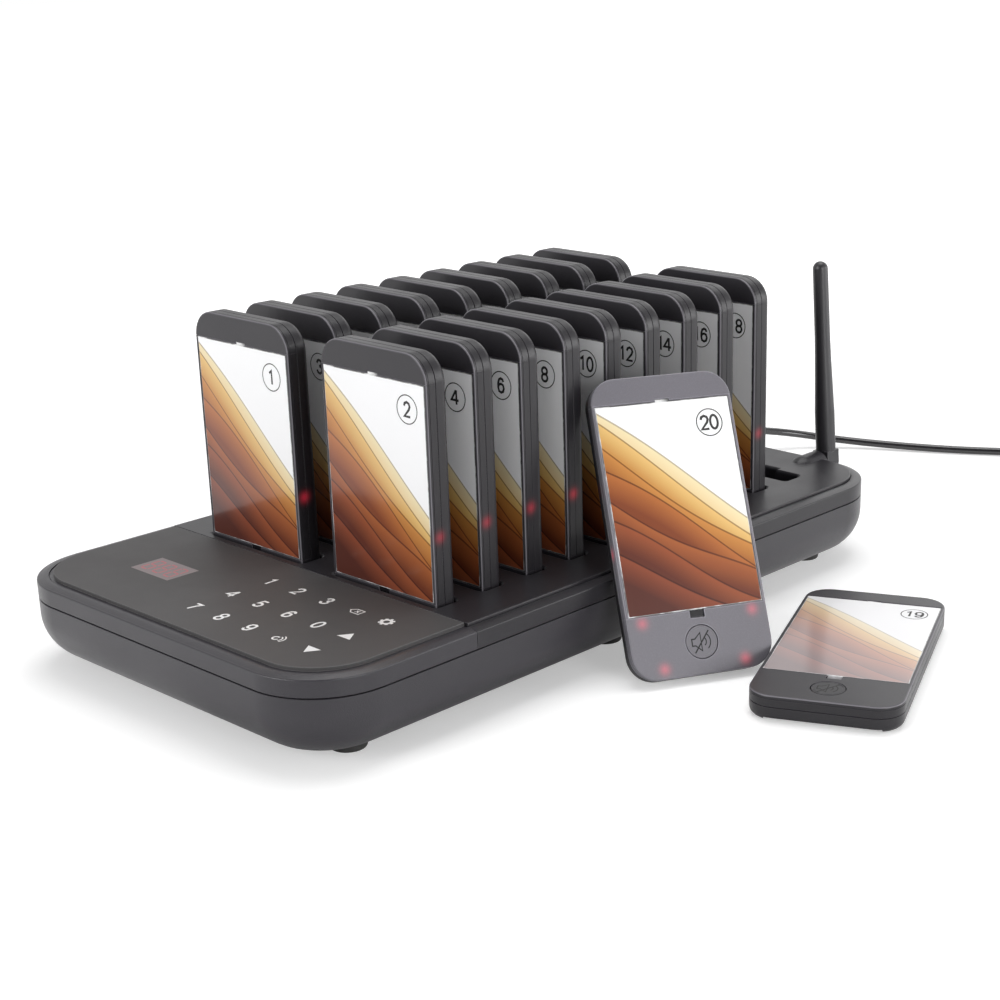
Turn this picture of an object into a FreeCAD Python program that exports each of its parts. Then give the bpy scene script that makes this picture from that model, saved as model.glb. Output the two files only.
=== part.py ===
import FreeCAD, Part
import math
import os

from FreeCAD import Placement, Rotation, Vector

# Guest pager system: a charging base with a touch keypad and twenty pagers.
# Millimetres, +Z up, table at z = 0. +X is the operator's right seen from the keypad end, -Y is
# the keypad end. The origin is the middle of the footprint of the whole set on the table; the
# power cord and what hangs on it are left out of that footprint.

# ---- charging base: outer form ----
BASE_LENGTH = 333.0
BASE_WIDTH = 186.0
BASE_CORNER_R = 31.0
FOOT_HEIGHT = 3.6
PART_LINE_Z = 29.0
RIM_Z = 36.9
DECK_Z = 38.1
RIM_LEDGE = 6.2
TUB_BOTTOM_R = 19.0
TUB_INSIDE_CUT = 12.0
CASE_WALL = 2.5
TOP_WALL = 2.2
RIM_EDGE_R = 1.2
DECK_EDGE_CUT = 0.4
SHADOW_GAP = 0.3
KEYPAD_LENGTH = 74.7
LIP_HEIGHT = 2.0
LIP_WALL = 1.1
LIP_CLEARANCE = 0.1

# ---- feet and screws ----
FOOT_R = 7.2
FOOT_TIP_R = 6.7
FOOT_PAD_WALL = 1.0
FOOT_SIDE_INSET = 23.0
FOOT_END_INSET = 32.5
SCREW_HEAD_R = 2.8
SCREW_HEAD_HEIGHT = 2.0
SCREW_R = 1.5
SCREW_CLEARANCE = 0.2
SCREW_HEAD_Z = 8.0
SCREW_BITE = 8.0
BOSS_WALL = 2.2
FRONT_SCREW_SIDE_INSET = 35.0
FRONT_SCREW_END_INSET = 34.5
REAR_SCREW_X = 22.0
REAR_SCREW_END_INSET = 24.3

# ---- round stretches are drawn as short flat steps ----
SMALL_SIDES = 12
ROD_SIDES = 20
COIL_SIDES = 24
CORD_SIDES = 10
BASE_CORNER_STEPS = 9
TUB_EDGE_STEPS = 6
RIM_EDGE_STEPS = 2
PAGER_CORNER_STEPS = 6
PAGER_EDGE_STEPS = 3
DOCKED_CORNER_STEPS = 4
DOCKED_EDGE_STEPS = 2
DOME_STEPS = 3

# ---- pager ----
PAGER_WIDTH = 57.4
PAGER_HEIGHT = 117.0
PAGER_DEPTH = 10.5
PAGER_CORNER_R = 10.5
FRONT_SHELL_DEPTH = 4.6
FRONT_EDGE_R = 0.7
FRONT_EDGE_STEPS = 1
REAR_EDGE_R = 3.0
WINDOW_WIDTH = 55.0
WINDOW_HEIGHT = 81.5
WINDOW_SILL = 24.9
WINDOW_THICKNESS = 1.2
CARD_THICKNESS = 0.4
CARD_MARGIN = 0.5
WINDOW_FIT = 0.1
LATCH_WIDTH = 5.5
LATCH_HEIGHT = 1.8
BUTTON_R = 6.4
BUTTON_GAP = 0.3
BUTTON_THICKNESS = 2.4
BUTTON_TRAVEL = 0.6
BUTTON_Z = 12.4
CHANNEL_WIDTH = 44.0
CHANNEL_DEPTH = 1.6
CHANNEL_HEIGHT = 20.0
PAD_WIDTH = 4.0
PAD_HEIGHT = 9.0
PAD_THICKNESS = 0.4
PAD_SPACING = 16.0
PAD_Z = 6.0

# ---- charging slots ----
ROWS = 10
DOCKED_ROWS = 9
COLUMN_X = 38.5
FIRST_ROW_BEHIND_SEAM = 4.3
LAST_ROW_END_INSET = 43.4
PAGER_SEAT_Z = 14.0
SEAT_GAP = 0.3
SLOT_CLEARANCE = 0.45
SLOT_REAR_CUT = 2.2
SLOT_MOUTH = 1.4
NOTCH_WIDTH = 30.0
NOTCH_DEPTH = 2.4
WELL_WALL = 1.4
CONTACT_WIDTH = 3.0
CONTACT_LEAF = 0.5
CONTACT_HEIGHT = 13.0
CONTACT_GAP = 0.3

# ---- loose pagers on the table ----
LEANING_Y = -8.5
LEANING_YAW = 61.5
LEANING_ANGLE = 26.5
LEANING_GAP = 0.3
LYING_SIDE_DISTANCE = 95.0
LYING_Y = -14.8
LYING_YAW = 24.3

# ---- keypad ----
PANEL_SEAM = 0.3
DISPLAY_SIDE_INSET = 48.5
DISPLAY_END_INSET = 39.8
DISPLAY_WIDTH = 24.0
DISPLAY_LENGTH = 14.6
DISPLAY_FIT = 0.3
KEY_BOARD_SIDE_INSET = 18.0
KEY_BOARD_LENGTH = 58.0
KEY_BOARD_FRONT = 11.5
BOARD_THICKNESS = 1.6

# ---- charging board ----
CHARGE_BOARD_SIDE_INSET = 23.0
CHARGE_BOARD_BEHIND_SEAM = 3.3
CHARGE_BOARD_REAR = 24.0

# ---- antenna on the rear wall ----
ANTENNA_SIDE_INSET = 38.5
ANTENNA_Z = 34.0
ANTENNA_BEHIND = 5.3
ANTENNA_LEAN = 3.8
ANTENNA_LENGTH = 93.6
ANTENNA_FOOT_R = 4.6
ANTENNA_STEP_R = 4.3
ANTENNA_TIP_R = 3.5
ANTENNA_STEP = 26.0
ANTENNA_RING = 10.0
ANTENNA_RING_WIDTH = 0.8
ANTENNA_RING_DEPTH = 0.2
BARREL_R = 4.5
BARREL_GAP = 0.3
BARREL_INSIDE = 15.0
BARREL_OUTSIDE = 0.5
BUMP_WALL = 1.6
BUMP_LENGTH = 13.0
KNUCKLE_R = 4.4
KNUCKLE_GAP = 0.3
CHEEK_X = 4.2
TONGUE_WIDTH = 3.8
CROTCH = 0.6
PIN_R = 1.1
PIN_GAP = 0.15

# ---- power socket, plug, cord and adapter ----
SOCKET_SIDE_INSET = 31.0
SOCKET_Z = 20.0
SOCKET_R = 4.5
SOCKET_GAP = 0.2
SOCKET_BORE_R = 2.9
SOCKET_BORE_DEPTH = 10.0
SOCKET_BODY_WIDTH = 9.0
SOCKET_BODY_LENGTH = 14.0
SOCKET_FLANGE = 6.0
SOCKET_PIN_R = 0.8
SOCKET_PIN_INSET = 1.5
PLUG_TIP_R = 2.7
PLUG_TIP_BORE_R = 1.1
PLUG_TIP_LENGTH = 9.0
PLUG_R = 4.8
PLUG_LENGTH = 20.0
PLUG_NECK_R = 3.6
PLUG_RELIEF_WALL = 0.6
PLUG_TAPER_LENGTH = 12.0
CORD_R = 2.0
CORD_ARC_SHARE = 0.45
# x and y run from where the cord leaves the plug, z from the table
CORD_POINTS = [
    (1.0, 33.3, 17.0),
    (11.0, 73.3, 10.0),
    (40.0, 100.3, 3.4),
    (84.0, 121.8, 2.1),
    (118.0, 142.3, 2.1),
]
COIL_ACROSS = 172.0
COIL_BEHIND = 149.3
COIL_MID_R = 22.0
COIL_BAND = 12.0
COIL_HEIGHT = 12.0
ADAPTER_WIDTH = 38.0
ADAPTER_LENGTH = 62.0
ADAPTER_HEIGHT = 30.0
ADAPTER_EDGE_CUT = 2.5
ADAPTER_GAP = 22.0
BLADE_WIDTH = 6.3
BLADE_THICKNESS = 1.5
BLADE_LENGTH = 16.0
BLADE_SPACING = 12.7

# ---- worked out from the sizes above ----
HALF_WIDTH = BASE_WIDTH / 2
HALF_LENGTH = BASE_LENGTH / 2
SEAM_Y = KEYPAD_LENGTH - HALF_LENGTH
FIRST_ROW_Y = SEAM_Y + FIRST_ROW_BEHIND_SEAM
SLOT_PITCH = (HALF_LENGTH - LAST_ROW_END_INSET - FIRST_ROW_Y) / (ROWS - 1)
FOOT_X = HALF_WIDTH - FOOT_SIDE_INSET
FOOT_Y = HALF_LENGTH - FOOT_END_INSET
FRONT_SCREW_X = HALF_WIDTH - FRONT_SCREW_SIDE_INSET
FRONT_SCREW_Y = FRONT_SCREW_END_INSET - HALF_LENGTH
REAR_SCREW_Y = HALF_LENGTH - REAR_SCREW_END_INSET
SCREW_SPOTS = [(-FRONT_SCREW_X, FRONT_SCREW_Y), (FRONT_SCREW_X, FRONT_SCREW_Y),
               (-REAR_SCREW_X, REAR_SCREW_Y), (REAR_SCREW_X, REAR_SCREW_Y)]
DISPLAY_X = DISPLAY_SIDE_INSET - HALF_WIDTH
DISPLAY_Y = DISPLAY_END_INSET - HALF_LENGTH
COVER_Z = PART_LINE_Z + SHADOW_GAP
INNER_TOP_Z = RIM_Z - TOP_WALL
TUB_FLOOR_Z = FOOT_HEIGHT + CASE_WALL
SLOT_FLOOR_Z = PAGER_SEAT_Z - SEAT_GAP
WELL_BOTTOM_Z = SLOT_FLOOR_Z - WELL_WALL
ANTENNA_X = HALF_WIDTH - ANTENNA_SIDE_INSET
ANTENNA_Y = HALF_LENGTH + ANTENNA_BEHIND
SOCKET_X = SOCKET_SIDE_INSET - HALF_WIDTH
PLUG_FACE_Y = HALF_LENGTH + SOCKET_GAP
CORD_START_Y = PLUG_FACE_Y + PLUG_LENGTH + PLUG_TAPER_LENGTH
COIL_X = SOCKET_X + COIL_ACROSS
COIL_Y = CORD_START_Y + COIL_BEHIND
X_AXIS = Vector(1, 0, 0)
Y_AXIS = Vector(0, 1, 0)
Z_AXIS = Vector(0, 0, 1)


def flat_face(points):
    return Part.Face(Part.makePolygon(points + points[:1]))


def stacked(rings):
    """Solid with flat sides through rings of points that match one to one."""
    faces = [flat_face(rings[0]), flat_face(rings[-1])]
    for lower, upper in zip(rings[:-1], rings[1:]):
        for i in range(len(lower)):
            faces.append(flat_face([lower[i - 1], lower[i], upper[i], upper[i - 1]]))
    solid = Part.makeSolid(Part.makeShell(faces))
    if solid.Volume < 0:
        solid.reverse()
    return solid


def outline(x0, y0, x1, y1, radius, steps, inset, z):
    """Points round a rectangle with round corners, moved inwards by inset."""
    corners = [(x0 + radius, y0 + radius, 180), (x1 - radius, y0 + radius, 270),
               (x1 - radius, y1 - radius, 0), (x0 + radius, y1 - radius, 90)]
    reach = radius - inset
    points = []
    for x, y, start in corners:
        for step in range(steps + 1):
            angle = math.radians(start + 90 * step / steps)
            points.append(Vector(x + reach * math.cos(angle), y + reach * math.sin(angle), z))
    return points


def edge_levels(radius, steps):
    """Inset and distance from the face along a rounded edge, from the face to the side."""
    levels = []
    for step in range(steps + 1):
        angle = math.pi / 2 * step / steps
        levels.append((radius * (1 - math.sin(angle)), radius * (1 - math.cos(angle))))
    return levels


def soft_slab(plan, corner_steps, z_plain, z_soft, edge_radius, edge_steps):
    """Slab on a rounded plan (x0, y0, x1, y1, corner radius), with a rounded edge at z_soft."""
    towards = 1 if z_plain > z_soft else -1
    rings = []
    for inset, drop in edge_levels(edge_radius, edge_steps):
        rings.append(outline(*plan, corner_steps, inset, z_soft + towards * drop))
    rings.append(outline(*plan, corner_steps, 0, z_plain))
    return stacked(rings)


def round_ring(radius, sides, z):
    points = []
    for side in range(sides):
        angle = 2 * math.pi * (side + 0.5) / sides
        points.append(Vector(radius * math.cos(angle), radius * math.sin(angle), z))
    return points


def turned(levels, sides, start, axis):
    """Round piece from (radius, distance) levels along an axis."""
    solid = stacked([round_ring(radius, sides, z) for radius, z in levels])
    return moved(solid, Placement(start, Rotation(Z_AXIS, axis)))


def small_bar(radius, start, axis, length):
    return turned([(radius, 0), (radius, length)], SMALL_SIDES, start, axis)


def base_plan():
    return (-HALF_WIDTH, -HALF_LENGTH, HALF_WIDTH, HALF_LENGTH, BASE_CORNER_R)


def base_prism(inset, z0, z1):
    """The base's plan outline, moved inwards by inset, between two heights."""
    return stacked([outline(*base_plan(), BASE_CORNER_STEPS, inset, z) for z in (z0, z1)])


def box(x0, y0, z0, x1, y1, z1):
    return Part.makeBox(x1 - x0, y1 - y0, z1 - z0, Vector(x0, y0, z0))


def front_half():
    """Space in front of the seam between the keypad cover and the dock cover."""
    reach = BASE_LENGTH
    return box(-reach, -reach, 0, reach, SEAM_Y, reach)


def rear_half():
    reach = BASE_LENGTH
    return box(-reach, SEAM_Y + PANEL_SEAM, 0, reach, reach, reach)


# ---------------------------------------------------------------- base

def boss_foot_radius():
    return SCREW_HEAD_R + SCREW_CLEARANCE + BOSS_WALL


def lower_case():
    """Tub with a big bottom radius, a lip for the covers, foot pads and screw wells."""
    outside = soft_slab(base_plan(), BASE_CORNER_STEPS, PART_LINE_Z, FOOT_HEIGHT, TUB_BOTTOM_R,
                        TUB_EDGE_STEPS)
    lip = base_prism(CASE_WALL - LIP_WALL, PART_LINE_Z, PART_LINE_Z + LIP_HEIGHT)
    levels = [(CASE_WALL + TUB_INSIDE_CUT, TUB_FLOOR_Z), (CASE_WALL, TUB_FLOOR_Z + TUB_INSIDE_CUT),
              (CASE_WALL, PART_LINE_Z + LIP_HEIGHT)]
    inside = stacked([outline(*base_plan(), BASE_CORNER_STEPS, inset, z) for inset, z in levels])
    pads = []
    for x in (-FOOT_X, FOOT_X):
        for y in (-FOOT_Y, 0, FOOT_Y):
            pads.append(small_bar(FOOT_R + FOOT_PAD_WALL, Vector(x, y, FOOT_HEIGHT), Z_AXIS, CASE_WALL))
    top = SCREW_HEAD_Z + SCREW_HEAD_HEIGHT
    bosses = []
    bores = []
    for x, y in SCREW_SPOTS:
        spot = Vector(x, y, FOOT_HEIGHT)
        bosses.append(small_bar(boss_foot_radius(), spot, Z_AXIS, top + BOSS_WALL - FOOT_HEIGHT))
        bores.append(small_bar(SCREW_HEAD_R + SCREW_CLEARANCE, spot, Z_AXIS, top - FOOT_HEIGHT))
        bores.append(small_bar(SCREW_R + SCREW_CLEARANCE, spot, Z_AXIS, PART_LINE_Z))
    bores.append(small_bar(SOCKET_R + SOCKET_GAP, Vector(SOCKET_X, HALF_LENGTH - TUB_BOTTOM_R, SOCKET_Z),
                           Y_AXIS, TUB_BOTTOM_R + CASE_WALL))
    tub = outside.fuse([lip] + pads).cut(inside)
    return tub.fuse(bosses).cut(bores + [barrel_hole()]).removeSplitter()


def barrel_hole():
    """Bore through the rear wall, shared by the tub and the dock cover."""
    inner_end = Vector(ANTENNA_X, HALF_LENGTH - BARREL_INSIDE - BARREL_OUTSIDE, ANTENNA_Z)
    length = 2 * (BARREL_INSIDE + BARREL_OUTSIDE)
    return Part.makeCylinder(BARREL_R + BARREL_GAP, length, inner_end, Y_AXIS)


def cover_shell():
    """Upper case over the whole base: wall, rim ledge and a raised deck, open below."""
    wall = soft_slab(base_plan(), BASE_CORNER_STEPS, COVER_Z, RIM_Z, RIM_EDGE_R, RIM_EDGE_STEPS)
    hollow = base_prism(CASE_WALL, COVER_Z, INNER_TOP_Z)
    rabbet = base_prism(CASE_WALL - LIP_WALL - LIP_CLEARANCE, COVER_Z,
                        PART_LINE_Z + LIP_HEIGHT + LIP_CLEARANCE)
    return wall.cut([hollow, rabbet])


def cover_boss(x, y):
    """Post under a cover that takes the screw coming up from below."""
    bottom = SCREW_HEAD_Z + SCREW_HEAD_HEIGHT + BOSS_WALL
    radius = SCREW_R + SCREW_CLEARANCE + BOSS_WALL
    post = small_bar(radius, Vector(x, y, bottom), Z_AXIS, INNER_TOP_Z - bottom)
    pilot = small_bar(SCREW_R + SCREW_CLEARANCE, Vector(x, y, bottom), Z_AXIS, SCREW_BITE + BOSS_WALL)
    return post.cut(pilot)


def keypad_cover():
    cover = cover_shell().common(front_half())
    posts = [cover_boss(x, y) for x, y in SCREW_SPOTS if y < SEAM_Y]
    half_x = DISPLAY_WIDTH / 2 + DISPLAY_FIT
    half_y = DISPLAY_LENGTH / 2 + DISPLAY_FIT
    window = box(DISPLAY_X - half_x, DISPLAY_Y - half_y, COVER_Z,
                 DISPLAY_X + half_x, DISPLAY_Y + half_y, DECK_Z)
    return cover.fuse(posts).cut(window).removeSplitter()


def touch_panel():
    return base_prism(RIM_LEDGE, RIM_Z, DECK_Z).common(front_half())


def display_module():
    half_x = DISPLAY_WIDTH / 2
    half_y = DISPLAY_LENGTH / 2
    return box(DISPLAY_X - half_x, DISPLAY_Y - half_y, INNER_TOP_Z,
               DISPLAY_X + half_x, DISPLAY_Y + half_y, RIM_Z)


def keypad_board():
    front = KEY_BOARD_FRONT - HALF_LENGTH
    half = HALF_WIDTH - KEY_BOARD_SIDE_INSET
    board = box(-half, front, INNER_TOP_Z - BOARD_THICKNESS, half, front + KEY_BOARD_LENGTH, INNER_TOP_Z)
    hole_r = SCREW_R + SCREW_CLEARANCE + BOSS_WALL + SEAT_GAP
    holes = [small_bar(hole_r, Vector(x, y, COVER_Z), Z_AXIS, DECK_Z) for x, y in SCREW_SPOTS if y < SEAM_Y]
    return board.cut(holes)


def slot_outline(grow, z):
    """Plan of a slot round a pager whose front face is at y = 0: cut rear corners and a notch."""
    half = PAGER_WIDTH / 2 + SLOT_CLEARANCE + grow
    front = -SLOT_CLEARANCE - grow
    rear = PAGER_DEPTH + SLOT_CLEARANCE + grow
    cut = SLOT_REAR_CUT + grow * (2 - math.sqrt(2))
    notch = NOTCH_WIDTH / 2 + grow
    deep = rear + NOTCH_DEPTH
    right = [(half, front), (half, rear - cut), (half - cut, rear), (notch, rear), (notch, deep)]
    left = [(-x, y) for x, y in reversed(right)]
    return [Vector(x, y, z) for x, y in right + left]


def slot_cavity():
    """What is cut for one slot: a straight pocket and a flared mouth."""
    neck_z = DECK_Z - SLOT_MOUTH
    return stacked([slot_outline(0, SLOT_FLOOR_Z), slot_outline(0, neck_z), slot_outline(SLOT_MOUTH, DECK_Z)])


def slot_places():
    """Number and middle of the front face of every slot, odd numbers in the left column."""
    places = []
    for row in range(ROWS):
        for column in range(2):
            x = COLUMN_X if column else -COLUMN_X
            places.append((2 * row + column + 1, Vector(x, FIRST_ROW_Y + row * SLOT_PITCH, 0)))
    return places


def well_block():
    half = PAGER_WIDTH / 2 + SLOT_CLEARANCE + WELL_WALL
    front = -SLOT_CLEARANCE - WELL_WALL
    rear = PAGER_DEPTH + SLOT_CLEARANCE + NOTCH_DEPTH + WELL_WALL
    return box(-half, front, WELL_BOTTOM_Z, half, rear, INNER_TOP_Z)


def antenna_bump():
    """Half-round fairing on the deck that clears the antenna's barrel."""
    radius = BARREL_R + BARREL_GAP + BUMP_WALL
    levels = [(radius, 0), (radius, BUMP_LENGTH - RIM_EDGE_R)]
    for step in range(1, DOME_STEPS):
        angle = math.pi / 2 * step / DOME_STEPS
        levels.insert(0, (radius * math.cos(angle), -radius * math.sin(angle)))
    tunnel = turned(levels, COIL_SIDES, Vector(ANTENNA_X, HALF_LENGTH - BUMP_LENGTH, ANTENNA_Z), Y_AXIS)
    above = box(ANTENNA_X - radius, 0, INNER_TOP_Z, ANTENNA_X + radius, HALF_LENGTH, DECK_Z + radius)
    return tunnel.common(above)


def dock_cover():
    """Rear cover with the raised deck, twenty charging wells and the antenna bump."""
    levels = [(RIM_LEDGE, INNER_TOP_Z), (RIM_LEDGE, DECK_Z - DECK_EDGE_CUT),
              (RIM_LEDGE + DECK_EDGE_CUT, DECK_Z)]
    deck = stacked([outline(*base_plan(), BASE_CORNER_STEPS, inset, z) for inset, z in levels])
    cover = cover_shell().fuse([deck, antenna_bump()]).common(rear_half())
    wells = []
    cavities = []
    for number, place in slot_places():
        wells.append(well_block().translated(place))
        cavities.append(slot_cavity().translated(place))
    posts = [cover_boss(x, y) for x, y in SCREW_SPOTS if y > SEAM_Y]
    return cover.fuse(wells + posts).cut(cavities + [barrel_hole()]).removeSplitter()


def contact_leaf():
    """Spring leaf that rises from the foot of a slot's notch towards the pager's pad."""
    wall_y = PAGER_DEPTH + SLOT_CLEARANCE + NOTCH_DEPTH
    reach_y = PAGER_DEPTH - CHANNEL_DEPTH + PAD_THICKNESS + CONTACT_GAP
    top_z = SLOT_FLOOR_Z + CONTACT_HEIGHT
    profile = [(wall_y - CONTACT_LEAF, SLOT_FLOOR_Z), (wall_y, SLOT_FLOOR_Z),
               (reach_y + CONTACT_LEAF, top_z), (reach_y, top_z)]
    points = [Vector(0, y, z) for y, z in profile]
    return flat_face(points).extrude(Vector(CONTACT_WIDTH, 0, 0))


def charging_board():
    """Board under the wells, and its forty spring contacts."""
    front = SEAM_Y + CHARGE_BOARD_BEHIND_SEAM
    rear = HALF_LENGTH - CHARGE_BOARD_REAR
    half = HALF_WIDTH - CHARGE_BOARD_SIDE_INSET
    board = box(-half, front, WELL_BOTTOM_Z - BOARD_THICKNESS, half, rear, WELL_BOTTOM_Z)
    hole_r = boss_foot_radius() + SEAT_GAP
    holes = [small_bar(hole_r, Vector(x, y, 0), Z_AXIS, DECK_Z) for x, y in SCREW_SPOTS if y > SEAM_Y]
    pieces = [board.cut(holes)]
    for number, place in slot_places():
        for side in (-1, 1):
            x = side * PAD_SPACING / 2 - CONTACT_WIDTH / 2
            pieces.append(contact_leaf().translated(place + Vector(x, 0, 0)))
    return Part.makeCompound(pieces)


def rubber_feet():
    feet = []
    for x in (-FOOT_X, FOOT_X):
        for y in (-FOOT_Y, 0, FOOT_Y):
            feet.append(turned([(FOOT_TIP_R, 0), (FOOT_R, FOOT_HEIGHT)], ROD_SIDES, Vector(x, y, 0), Z_AXIS))
    return Part.makeCompound(feet)


def case_screws():
    screws = []
    length = BOSS_WALL + SCREW_BITE
    for x, y in SCREW_SPOTS:
        spot = Vector(x, y, SCREW_HEAD_Z)
        head = small_bar(SCREW_HEAD_R, spot, Z_AXIS, SCREW_HEAD_HEIGHT)
        shank = small_bar(SCREW_R, spot, Z_AXIS, SCREW_HEAD_HEIGHT + length)
        screws.append(head.fuse(shank).removeSplitter())
    return Part.makeCompound(screws)


# ---------------------------------------------------------------- antenna

def knuckle(x0, x1, reach):
    """Block between two planes across X, rounded about the hinge pin at the origin."""
    block = box(x0, -KNUCKLE_R, 0, x1, KNUCKLE_R, reach)
    return block.fuse(turned([(KNUCKLE_R, 0), (KNUCKLE_R, x1 - x0)], ROD_SIDES, Vector(x0, 0, 0), X_AXIS))


def antenna_place():
    """Placement of the antenna's hinge pin, turned with the whip's lean."""
    return Placement(Vector(ANTENNA_X, ANTENNA_Y, ANTENNA_Z), Rotation(Y_AXIS, -ANTENNA_LEAN))


def antenna_barrel():
    """Swivelling barrel in the rear wall with the hinge tongue at its outer end."""
    outer_end = BARREL_OUTSIDE - ANTENNA_BEHIND
    inner_end = Vector(0, -ANTENNA_BEHIND - BARREL_INSIDE, 0)
    barrel = Part.makeCylinder(BARREL_R, BARREL_INSIDE + BARREL_OUTSIDE, inner_end, Y_AXIS)
    half = TONGUE_WIDTH / 2
    tongue = moved(knuckle(-half, half, -outer_end), Placement(Vector(0, 0, 0), Rotation(X_AXIS, 90)))
    hole = Part.makeCylinder(PIN_R + PIN_GAP, 2 * BARREL_R, Vector(-BARREL_R, 0, 0), X_AXIS)
    return moved(barrel.fuse(tongue).cut(hole).removeSplitter(), antenna_place())


def antenna_whip():
    """Fork with its pin, then a tapered rod with a ring groove and a domed tip."""
    tip = ANTENNA_LENGTH - ANTENNA_TIP_R
    groove = tip - ANTENNA_RING
    base = KNUCKLE_R + CROTCH
    neck = ANTENNA_TIP_R - ANTENNA_RING_DEPTH
    levels = [(ANTENNA_FOOT_R, base), (ANTENNA_FOOT_R, ANTENNA_STEP),
              (ANTENNA_STEP_R, ANTENNA_STEP + ANTENNA_FOOT_R - ANTENNA_STEP_R),
              (ANTENNA_TIP_R, groove), (neck, groove + ANTENNA_RING_DEPTH),
              (neck, groove + ANTENNA_RING_WIDTH),
              (ANTENNA_TIP_R, groove + ANTENNA_RING_WIDTH + ANTENNA_RING_DEPTH),
              (ANTENNA_TIP_R, tip)]
    for step in range(1, DOME_STEPS):
        angle = math.pi / 2 * step / DOME_STEPS
        levels.append((ANTENNA_TIP_R * math.cos(angle), tip + ANTENNA_TIP_R * math.sin(angle)))
    rod = turned(levels, ROD_SIDES, Vector(0, 0, 0), Z_AXIS)
    inner = TONGUE_WIDTH / 2 + KNUCKLE_GAP
    cheeks = [knuckle(-CHEEK_X, -inner, base), knuckle(inner, CHEEK_X, base)]
    pin = Part.makeCylinder(PIN_R, 2 * CHEEK_X, Vector(-CHEEK_X, 0, 0), X_AXIS)
    whip = rod.fuse(cheeks + [pin]).removeSplitter()
    return moved(whip, antenna_place())


def moved(shape, placement):
    """Copy of the shape with the placement worked into its own geometry."""
    return shape.transformed(placement.toMatrix(), True)


# ---------------------------------------------------------------- power

def power_socket():
    """Jack on the board: a body, a collar through the tub's rear wall and a centre pin."""
    half = SOCKET_BODY_WIDTH / 2
    body_rear = HALF_LENGTH - SOCKET_FLANGE
    bore_start = Vector(SOCKET_X, HALF_LENGTH - SOCKET_BORE_DEPTH, SOCKET_Z)
    body = box(SOCKET_X - half, body_rear - SOCKET_BODY_LENGTH, SOCKET_Z - half,
               SOCKET_X + half, body_rear, SOCKET_Z + half)
    collar = small_bar(SOCKET_R, Vector(SOCKET_X, body_rear, SOCKET_Z), Y_AXIS, SOCKET_FLANGE)
    bore = small_bar(SOCKET_BORE_R, bore_start, Y_AXIS, SOCKET_BORE_DEPTH)
    pin = small_bar(SOCKET_PIN_R, bore_start, Y_AXIS, SOCKET_BORE_DEPTH - SOCKET_PIN_INSET)
    return body.fuse(collar).cut(bore).fuse(pin).removeSplitter()


def power_plug():
    """Straight barrel plug with a moulded grip and a tapered strain relief."""
    face = Vector(SOCKET_X, PLUG_FACE_Y, SOCKET_Z)
    tip_start = face - Y_AXIS * PLUG_TIP_LENGTH
    levels = [(PLUG_R, 0), (PLUG_R, PLUG_LENGTH), (PLUG_NECK_R, PLUG_LENGTH + PLUG_R - PLUG_NECK_R),
              (CORD_R + PLUG_RELIEF_WALL, PLUG_LENGTH + PLUG_TAPER_LENGTH)]
    grip = turned(levels, ROD_SIDES, face, Y_AXIS)
    tip = small_bar(PLUG_TIP_R, tip_start, Y_AXIS, PLUG_TIP_LENGTH)
    bore = small_bar(PLUG_TIP_BORE_R, tip_start, Y_AXIS, PLUG_TIP_LENGTH)
    return grip.fuse(tip).cut(bore).removeSplitter()


def cord_route():
    """Corner points of the cord from the plug's relief to the coil."""
    start = Vector(SOCKET_X, CORD_START_Y, SOCKET_Z)
    end = Vector(COIL_X - COIL_MID_R - COIL_BAND / 2, COIL_Y, CORD_POINTS[-1][2])
    middle = [Vector(SOCKET_X + x, CORD_START_Y + y, z) for x, y, z in CORD_POINTS]
    return [start] + middle + [end]


def cord_tube():
    """Straight runs joined by tangent arcs, swept with the cord's round section."""
    points = cord_route()
    edges = []
    here = points[0]
    for before, corner, after in zip(points[:-2], points[1:-1], points[2:]):
        back = before - corner
        ahead = after - corner
        shorter = min(back.Length, ahead.Length)
        back.normalize()
        ahead.normalize()
        turn = math.pi - back.getAngle(ahead)
        setback = CORD_ARC_SHARE * shorter
        radius = setback / math.tan(turn / 2)
        print("cord turn %.1f degrees, radius %.1f mm" % (math.degrees(turn), radius))
        first = corner + back * setback
        last = corner + ahead * setback
        middle_way = back + ahead
        middle_way.normalize()
        bulge = radius / math.cos(turn / 2) - radius
        edges.append(Part.LineSegment(here, first).toShape())
        edges.append(Part.Arc(first, corner + middle_way * bulge, last).toShape())
        here = last
    edges.append(Part.LineSegment(here, points[-1]).toShape())
    path = Part.Wire(edges)
    start_place = Placement(points[0], Rotation(Z_AXIS, points[1] - points[0]))
    end_face = moved(flat_face(round_ring(CORD_R, CORD_SIDES, 0)), start_place)
    tube = path.makePipeShell([end_face.OuterWire], True, False)
    length = sum(edge.Length for edge in edges)
    print("cord tube %.1f mm, volume ratio %.4f" % (length, tube.Volume / (length * end_face.Area)))
    return tube


def power_cord_coil():
    outer = COIL_MID_R + COIL_BAND / 2
    inner = COIL_MID_R - COIL_BAND / 2
    foot = Vector(COIL_X, COIL_Y, 0)
    disc = turned([(outer, 0), (outer, COIL_HEIGHT)], COIL_SIDES, foot, Z_AXIS)
    hole = turned([(inner, 0), (inner, COIL_HEIGHT)], COIL_SIDES, foot, Z_AXIS)
    return disc.cut(hole)


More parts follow.
